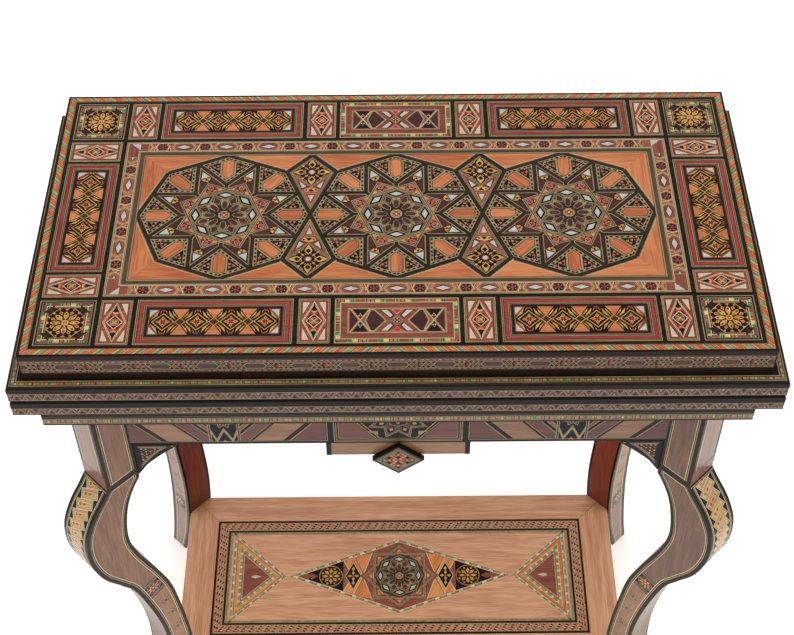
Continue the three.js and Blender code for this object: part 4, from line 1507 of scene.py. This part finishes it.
def paint_outer_edge(brush, length, top):
    """The outer edge of a leg unrolled: post strings, a band of painted facet shade above the knee, knee
    mosaic, then plain wood to the foot.
    """
    half = LEG_HALF_THICKNESS
    knee = top - 552
    mosaic_end = knee + 231
    strings = 5.9
    brush.fill("walnut", box(0, -half, length, half))
    for side in brush.both():
        for wood, near, far, end in (("strap", 0, 2.6, length), ("khaki", 2.6, 3.4, length),
                                     ("ebony", 0, 3.6, mosaic_end), ("khaki", 3.6, 4.6, mosaic_end),
                                     ("ebony", 4.6, 5.2, mosaic_end), ("cream", 5.2, strings, mosaic_end)):
            side.fill(wood, box(0, half - far, end, half - near))
    inner = half - strings
    brush.fill("walnut", box(3, -inner, knee - 26, inner))
    # Maroon and brick band just above the knee: painted shade of a cut facet that the mesh does not have,
    # its thin maroon edges a painted shadow line along the notch
    brush.fill("maroon", box(knee - 26, -half, knee, half))
    brush.fill("brick", box(knee - 24, -half, knee - 4, half))
    band = brush.inside(box(knee, -inner, mosaic_end, inner))
    band.fill("night", box(knee, -inner, mosaic_end, inner))
    pitch = 12.7
    for number in range(-1, int((mosaic_end - knee) / pitch) + 2):
        knee_brick(band.at(knee + number * pitch, 0, 117))
    for edge in (knee - 4, mosaic_end):
        brush.fill("khaki", box(edge - 1.2, -half, edge + 3.2, half))
        brush.fill("ebony", box(edge - 0.4, -half, edge + 2.4, half))

def paint_inner_edge(brush, length, half):
    brush.fill("mahogany", box(0, -half, length, half))
    brush.fill("ebony", box(0, -half, length, 2.6 - half))
    brush.fill("ebony", box(0, half - 2.6, length, half))

def leg_place(corner, outwards):
    """Places (distance outwards from the post's outer edge, height, distance across the leg)."""
    across = outwards.cross(Vector((0, 0, 1)))

    def place(s, h, c):
        return corner + outwards * (POST_HALF + s) + Vector((0, 0, h)) + across * c

    return place

def add_leg_edge(name, outline, place, top, paint):
    """A veneer bent round one edge of a leg; paint draws it unrolled."""
    half = LEG_HALF_THICKNESS - FACE_VENEER - SEAT
    path = Path(offset(outline, EDGE_VENEER, False)[::-1])
    length = path.marks[-1]

    def wrapped(u, v, w):
        s, h = path.at(u, w)
        return place(s, min(max(h, 0.0), top), -v)

    drawing = Drawing()
    paint(drawing.inside(box(0, -half, length, half)), length)
    cuts = [((mark, -60), (mark, 60)) for mark in path.marks[1:-1]]
    lay(name, drawing, wrapped, EDGE_VENEER, "stand", cuts=cuts, curved=True)

def add_leg(name, sx, sy, top):
    place = leg_place(Vector((sx * LEG_X, sy * LEG_Y, 0)), Vector((sx, sy, 0)).normalized())
    inner = [(-39, top), *smooth_path(LEG_INNER)]
    outer = [*smooth_path(LEG_OUTER), (0, top)]
    core = [(s, min(max(h, 0.0), top - 0.05)) for s, h in offset(inner + outer, EDGE_VENEER + SEAT)]
    depth = LEG_HALF_THICKNESS - FACE_VENEER - SEAT
    solid(f"{name}_leg_core", core, place, -depth, depth, "walnut_z", "stand",
          [f"{name}_leg"])
    back = LEG_HALF_THICKNESS - FACE_VENEER
    face = leg_face(top)
    lay(f"{name}_leg_face_a", face, lambda u, v, w: place(u, v, back + w), FACE_VENEER, "stand")
    lay(f"{name}_leg_face_b", face.mirrored(), lambda u, v, w: place(-u, v, -back - w), FACE_VENEER,
        "stand")
    add_leg_edge(f"{name}_leg_outer_edge", outer, place, top,
                 lambda brush, length: paint_outer_edge(brush, length, top))
    add_leg_edge(f"{name}_leg_inner_edge", inner, place, top,
                 lambda brush, length: paint_inner_edge(brush, length, depth))

def add_legs():
    top = cad("front_left_leg")[1].z
    for sx, x_name in ((-1, "left"), (1, "right")):
        for sy, y_name in ((-1, "front"), (1, "back")):
            add_leg(f"{y_name}_{x_name}", sx, sy, top)

# ---- Shelf ----------------------------------------------------------------------------------------
SHELF_VENEER = 1.0
SHELF_BAND = 21.0
SHELF_LOZENGE = (145, 56)     # half its length and half its depth
SHELF_TRIANGLE = (68, 72)     # half its base, and its reach


def paint_shelf_band(brush, half_length, start, end):
    """Black line, twisted mosaic, black line and a green dotted string."""
    brush.fill("ebony", box(start, 0, end, SHELF_BAND))
    brush.fill("khaki", box(start, 2.6, end, 14.6))
    brush.segments((start, 8.6), (end, 8.6), 10.4, [
        ("rose", 2.0), ("straw", 2.8), ("khaki", 1.6), ("tan", 2.0), ("cream", 1.2)], slant=8.0)
    for level, shift in ((5.4, 0.0), (8.6, 2.0), (11.8, 4.0)):
        brush.segments((start, level), (end, level), 2.0, [
            ("khaki", 1.1 + shift), ("night", 3.1), ("rose", 5.6 - shift)], slant=1.3)
    brush.fill("khaki", box(start, 17.4, end, SHELF_BAND))
    brush.segments((start, 19.2), (end, 19.2), 1.8, [
        ("green", 2.0), ("khaki", 3.2), ("rose", 1.6), ("khaki", 3.2)])


def shelf_lozenge(half_x, half_y):
    drawing = Drawing()
    left = drawing.rings(lozenge(half_x, half_y), ("cream", 0.8), ("ebony", 0.5))
    left = string_frame(drawing, left, 2.6, [("cream", 6.0), ("green", 2.0), ("khaki", 5.0), ("rose", 2.4),
                                             ("ebony", 1.0)], "khaki")
    left = drawing.rings(left, ("cream", 0.8), ("ebony", 0.4))
    drawing.fill("brick", left)
    field = drawing.inside(left)
    for half in field.halves():
        for side in half.both():
            side.fill("orange", [(36, 34), (46, 3), (59, 30)], 60)
            side.fill("orange", [(47, 2), (61, 30), (74, 24), (62, 1)], 70)
            side.string("cream", [(35, 36), (47.5, 0)], 0.8)
            side.string("cream", [(47.5, 0), (61, 32)], 0.8)
            side.string("cream", [(61, 0.5), (74, 26)], 0.8)
        gem = half.rings(lozenge(10.5, 21, 60), ("cream", 0.7), ("ebony", 0.3))
        half.fill("night", gem)
        clover(half.at(60), 7.5, "gold", "red")
        for y in (10.5, -10.5):
            half.fill("gold", lozenge(2.0, 3.2, 60, y))
        half.fill("night", [(73, 24), (73, -24), (118, -6), (118, 6)])
        half.fill("gold", ring_points(20, 15.4, 0, 89))
        half.fill("night", ring_points(20, 14.6, 0, 89))
        for arm in half.at(89).around(8):
            arm.fill("gold", [(3.0, 0), (7.4, -2.2), (12.0, 0), (7.4, 2.2)])
        for arm in half.at(89).around(8, 22.5):
            arm.fill("orange", lozenge(2.0, 1.6, 11.6))
        half.fill("red", ring_points(8, 3.0, 0, 89))
        half.fill("cream", ring_points(8, 1.4, 0, 89))
        half.fill("brick", [(106, 0), (113, -4.4), (124, 0), (113, 4.4)])
    field.fill("brick", ring_points(4, 51))
    field.fill("brick", ring_points(8, 44, 22.5))
    for arm in field.around(8):
        arm.fill("orange", [(30.0, 0), (35.0, -5.0), (35.0, 5.0)])
        arm.fill("gold", [(36.0, -3.4), (40.0, 0), (36.0, 3.4)])
        arm.fill("green", lozenge(1.4, 1.4, 42.2))
    for arm in field.around(8, 22.5):
        arm.fill("maroon", [(31.0, 0), (35.6, -9.0), (35.6, 9.0)])
    for turn in (0, 45):
        square = field.at(turn=turn)
        for wood, inset in (("khaki", 0.0), ("strap", 0.9), ("khaki", 1.5)):
            square.string(wood, panel_loop(33.0 - inset), 0.9)
    star_wheel(field.at(scale=0.9))
    return drawing


def panel_loop(half):
    """A closed square path."""
    return [(-half, -half), (half, -half), (half, half), (-half, half), (-half, -half)]


def shelf_triangle(base, reach):
    """Nested triangles that point inwards along +x from a base on the y axis."""
    drawing = Drawing()
    outline = [(0, -base), (reach, 0), (0, base)]
    left = drawing.rings(outline, ("cream", 0.7), ("ebony", 0.4))
    left = string_frame(drawing, left, 2.4, [("khaki", 5.0), ("green", 1.6), ("cream", 4.0), ("rose", 2.0)],
                        "khaki")
    left = drawing.rings(left, ("cream", 0.7), ("tan", 1.4), ("orange", 3.2), ("cream", 0.6))
    left = string_frame(drawing, left, 3.4, [("khaki", 4.0), ("green", 1.6), ("cream", 3.0), ("rose", 1.6)],
                        "khaki")
    left = drawing.rings(left, ("tan", 1.8), ("cream", 0.6), ("ebony", 0.3))
    drawing.fill("brick", left)
    near, far = left[0][0], left[1][0]
    middle = near + 0.45 * (far - near)
    drawing.fill("pearl", [(middle - 5, -0.8), (middle, -2.6), (middle + 8, 0), (middle, 2.6),
                           (middle - 5, 0.8)])
    return drawing


def add_shelf():
    low, high = cad("shelf_inlaid_panel")
    half_x, half_y = high.x, high.y
    level = high.z - SHELF_VENEER
    core = solid("shelf_panel_core", panel_outline(2 * half_x, 2 * half_y), level_plane(0), low.z,
                 level - SEAT, "beech_x", "stand", ["shelf_inlaid_panel"])
    bevel(core, 0.3)

    lay_bars("shelf_band", half_x, half_y, SHELF_BAND, paint_shelf_band, (3, 1), inward_planes(level),
             SHELF_VENEER, "stand")
    inner_x, inner_y = half_x - SHELF_BAND - JOINT, half_y - SHELF_BAND - JOINT
    field = Drawing()
    # the cherry field is lightened beyond the wood's own colour, painted light against the shade the top
    # casts on the shelf
    field.fill("cherry", panel_outline(2 * inner_x, 2 * inner_y))
    middle = shelf_lozenge(*SHELF_LOZENGE)
    field.fill(None, offset(hull(middle), -JOINT))
    ends = shelf_triangle(*SHELF_TRIANGLE)
    for word, turn in (("left", 0), ("right", 180)):
        x = -math.cos(math.radians(turn)) * (inner_x - 1.5)
        field.at(x, 0, turn).fill(None, offset(hull(ends), -JOINT))
        lay(f"shelf_triangle_{word}", ends, level_plane(level, turn, x), SHELF_VENEER, "stand")
    lay("shelf_lozenge", middle, level_plane(level), SHELF_VENEER, "stand")
    lay("shelf_field", field, level_plane(level), SHELF_VENEER, "stand")


# ---- Finishes for the CAD pieces that stay --------------------------------------------------------
def finish(node, wood, edge=0.5):
    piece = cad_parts[node]
    piece.data.materials.clear()
    piece.data.materials.append(material(wood))
    if edge:
        piece.modifiers.new("weld", "WELD").merge_threshold = 1e-5
        bevel(piece, edge)


def finish_cad():
    for leaf in ("upper", "lower"):
        for side, turn in SIDES.items():
            finish(f"{leaf}_rim_{side}", "ebony_x" if turn % 180 == 0 else "ebony_y", 0)
        finish(f"{leaf}_playing_panel", "beech_x")
        finish(f"{leaf}_slab_frame", "ebony_x")
        finish(f"{leaf}_baize", "felt", 0)
    finish("upper_slab_board", "beech_x")
    finish("lower_slab_board", "ebony_x")
    for side, turn in SIDES.items():
        axis = "x" if turn % 180 == 0 else "y"
        finish(f"{side}_apron", f"ebony_{axis}")
        finish(f"{side}_bracket_a", f"ebony_{axis}")
        finish(f"{side}_bracket_b", f"ebony_{axis}")
        # the shelf rails take the same lightened cherry, painted light against the shade under the top
        finish(f"shelf_{side}_rail", f"cherry_{axis}", 0.8)
    for side in ("front", "back"):
        finish(f"{side}_drop_block", "tan_x")
        finish(f"{side}_pendant", "ebony_x")
    finish("well_floor", "beech_x")
    finish("pivot_rail", "beech_y")
    for part in ("bolt", "washer", "nut"):
        finish(f"pivot_{part}", "steel", 0.3)
    for word in ("left", "right"):
        finish(f"{word}_hinge_upper_leaf", "brass", 0.15)
        finish(f"{word}_hinge_lower_leaf", "brass", 0.15)
        finish(f"{word}_hinge_pin", "steel", 0.15)


# ---- Floor, light and camera ----------------------------------------------------------------------
def add_floor():
    mesh = bpy.data.meshes.new("floor")
    half = 40.0
    corners = [(-half, -half, 0), (half, -half, 0), (half, half, 0), (-half, half, 0)]
    mesh.from_pydata(corners, [], [(0, 1, 2, 3)])
    floor = bpy.data.objects.new("floor", mesh)
    bpy.context.scene.collection.objects.link(floor)
    n = Nodes("studio_floor")
    place = n.add("ShaderNodeTexCoord", {}).outputs["Object"]
    cloud = n.noise(place, 2.0)
    n.feed(n.shader, {
        "Base Color": n.blend(cloud, colour("#f4f3f1"), colour("#fbfbfa")),
        "Roughness": 0.9,
        "Specular IOR Level": 0.1,
        "Emission Color": (1.0, 1.0, 1.0, 1.0),
        "Emission Strength": 0.38,
    })
    mesh.materials.append(n.material)


def add_light(name, place, target, size, power):
    data = bpy.data.lights.new(name, "AREA")
    data.shape = "RECTANGLE"
    data.size, data.size_y = size
    data.energy = power
    lamp = bpy.data.objects.new(name, data)
    lamp.location = place
    lamp.rotation_euler = (Vector(target) - Vector(place)).to_track_quat("-Z", "Y").to_euler()
    bpy.context.scene.collection.objects.link(lamp)


def add_studio():
    scene = bpy.context.scene
    scene.view_settings.view_transform = "Standard"
    world = bpy.data.worlds.new("studio")
    world.use_nodes = True
    world.node_tree.nodes["Background"].inputs["Color"].default_value = (1.0, 0.99, 0.98, 1.0)
    world.node_tree.nodes["Background"].inputs["Strength"].default_value = 0.42
    scene.world = world
    add_light("overhead", (0.0, -0.45, 3.0), (0, 0, 0.6), (2.4, 1.6), 27)
    add_light("back_fill", (0.0, 1.8, 0.9), (0, 0, 0.1), (2.4, 0.7), 16)
    add_light("left_softbox", (-2.4, 0.1, 1.4), (0, 0, 0.3), (1.8, 1.6), 17)
    add_light("right_softbox", (2.4, 0.1, 1.4), (0, 0, 0.3), (1.8, 1.6), 17)


def add_camera():
    data = bpy.data.cameras.new("camera")
    data.lens = 68.5
    data.sensor_width = 36.0
    camera = bpy.data.objects.new("camera", data)
    camera.location = (0.0005, -1.0343, 1.8254)
    pitch, yaw, roll = math.radians(40.9), math.radians(0.04), math.radians(-0.49)
    turned = Matrix.Rotation(yaw, 3, "Z") @ Matrix.Rotation(pitch, 3, "X") @ Matrix.Rotation(roll, 3, "Z")
    camera.rotation_euler = turned.to_euler()
    bpy.context.scene.collection.objects.link(camera)
    bpy.context.scene.camera = camera


add_camera()
add_border()
add_field()
add_slab_sides()
add_rim_bands()
add_aprons()
add_brackets()
add_pendants()
add_legs()
add_shelf()
finish_cad()
add_floor()
add_studio()
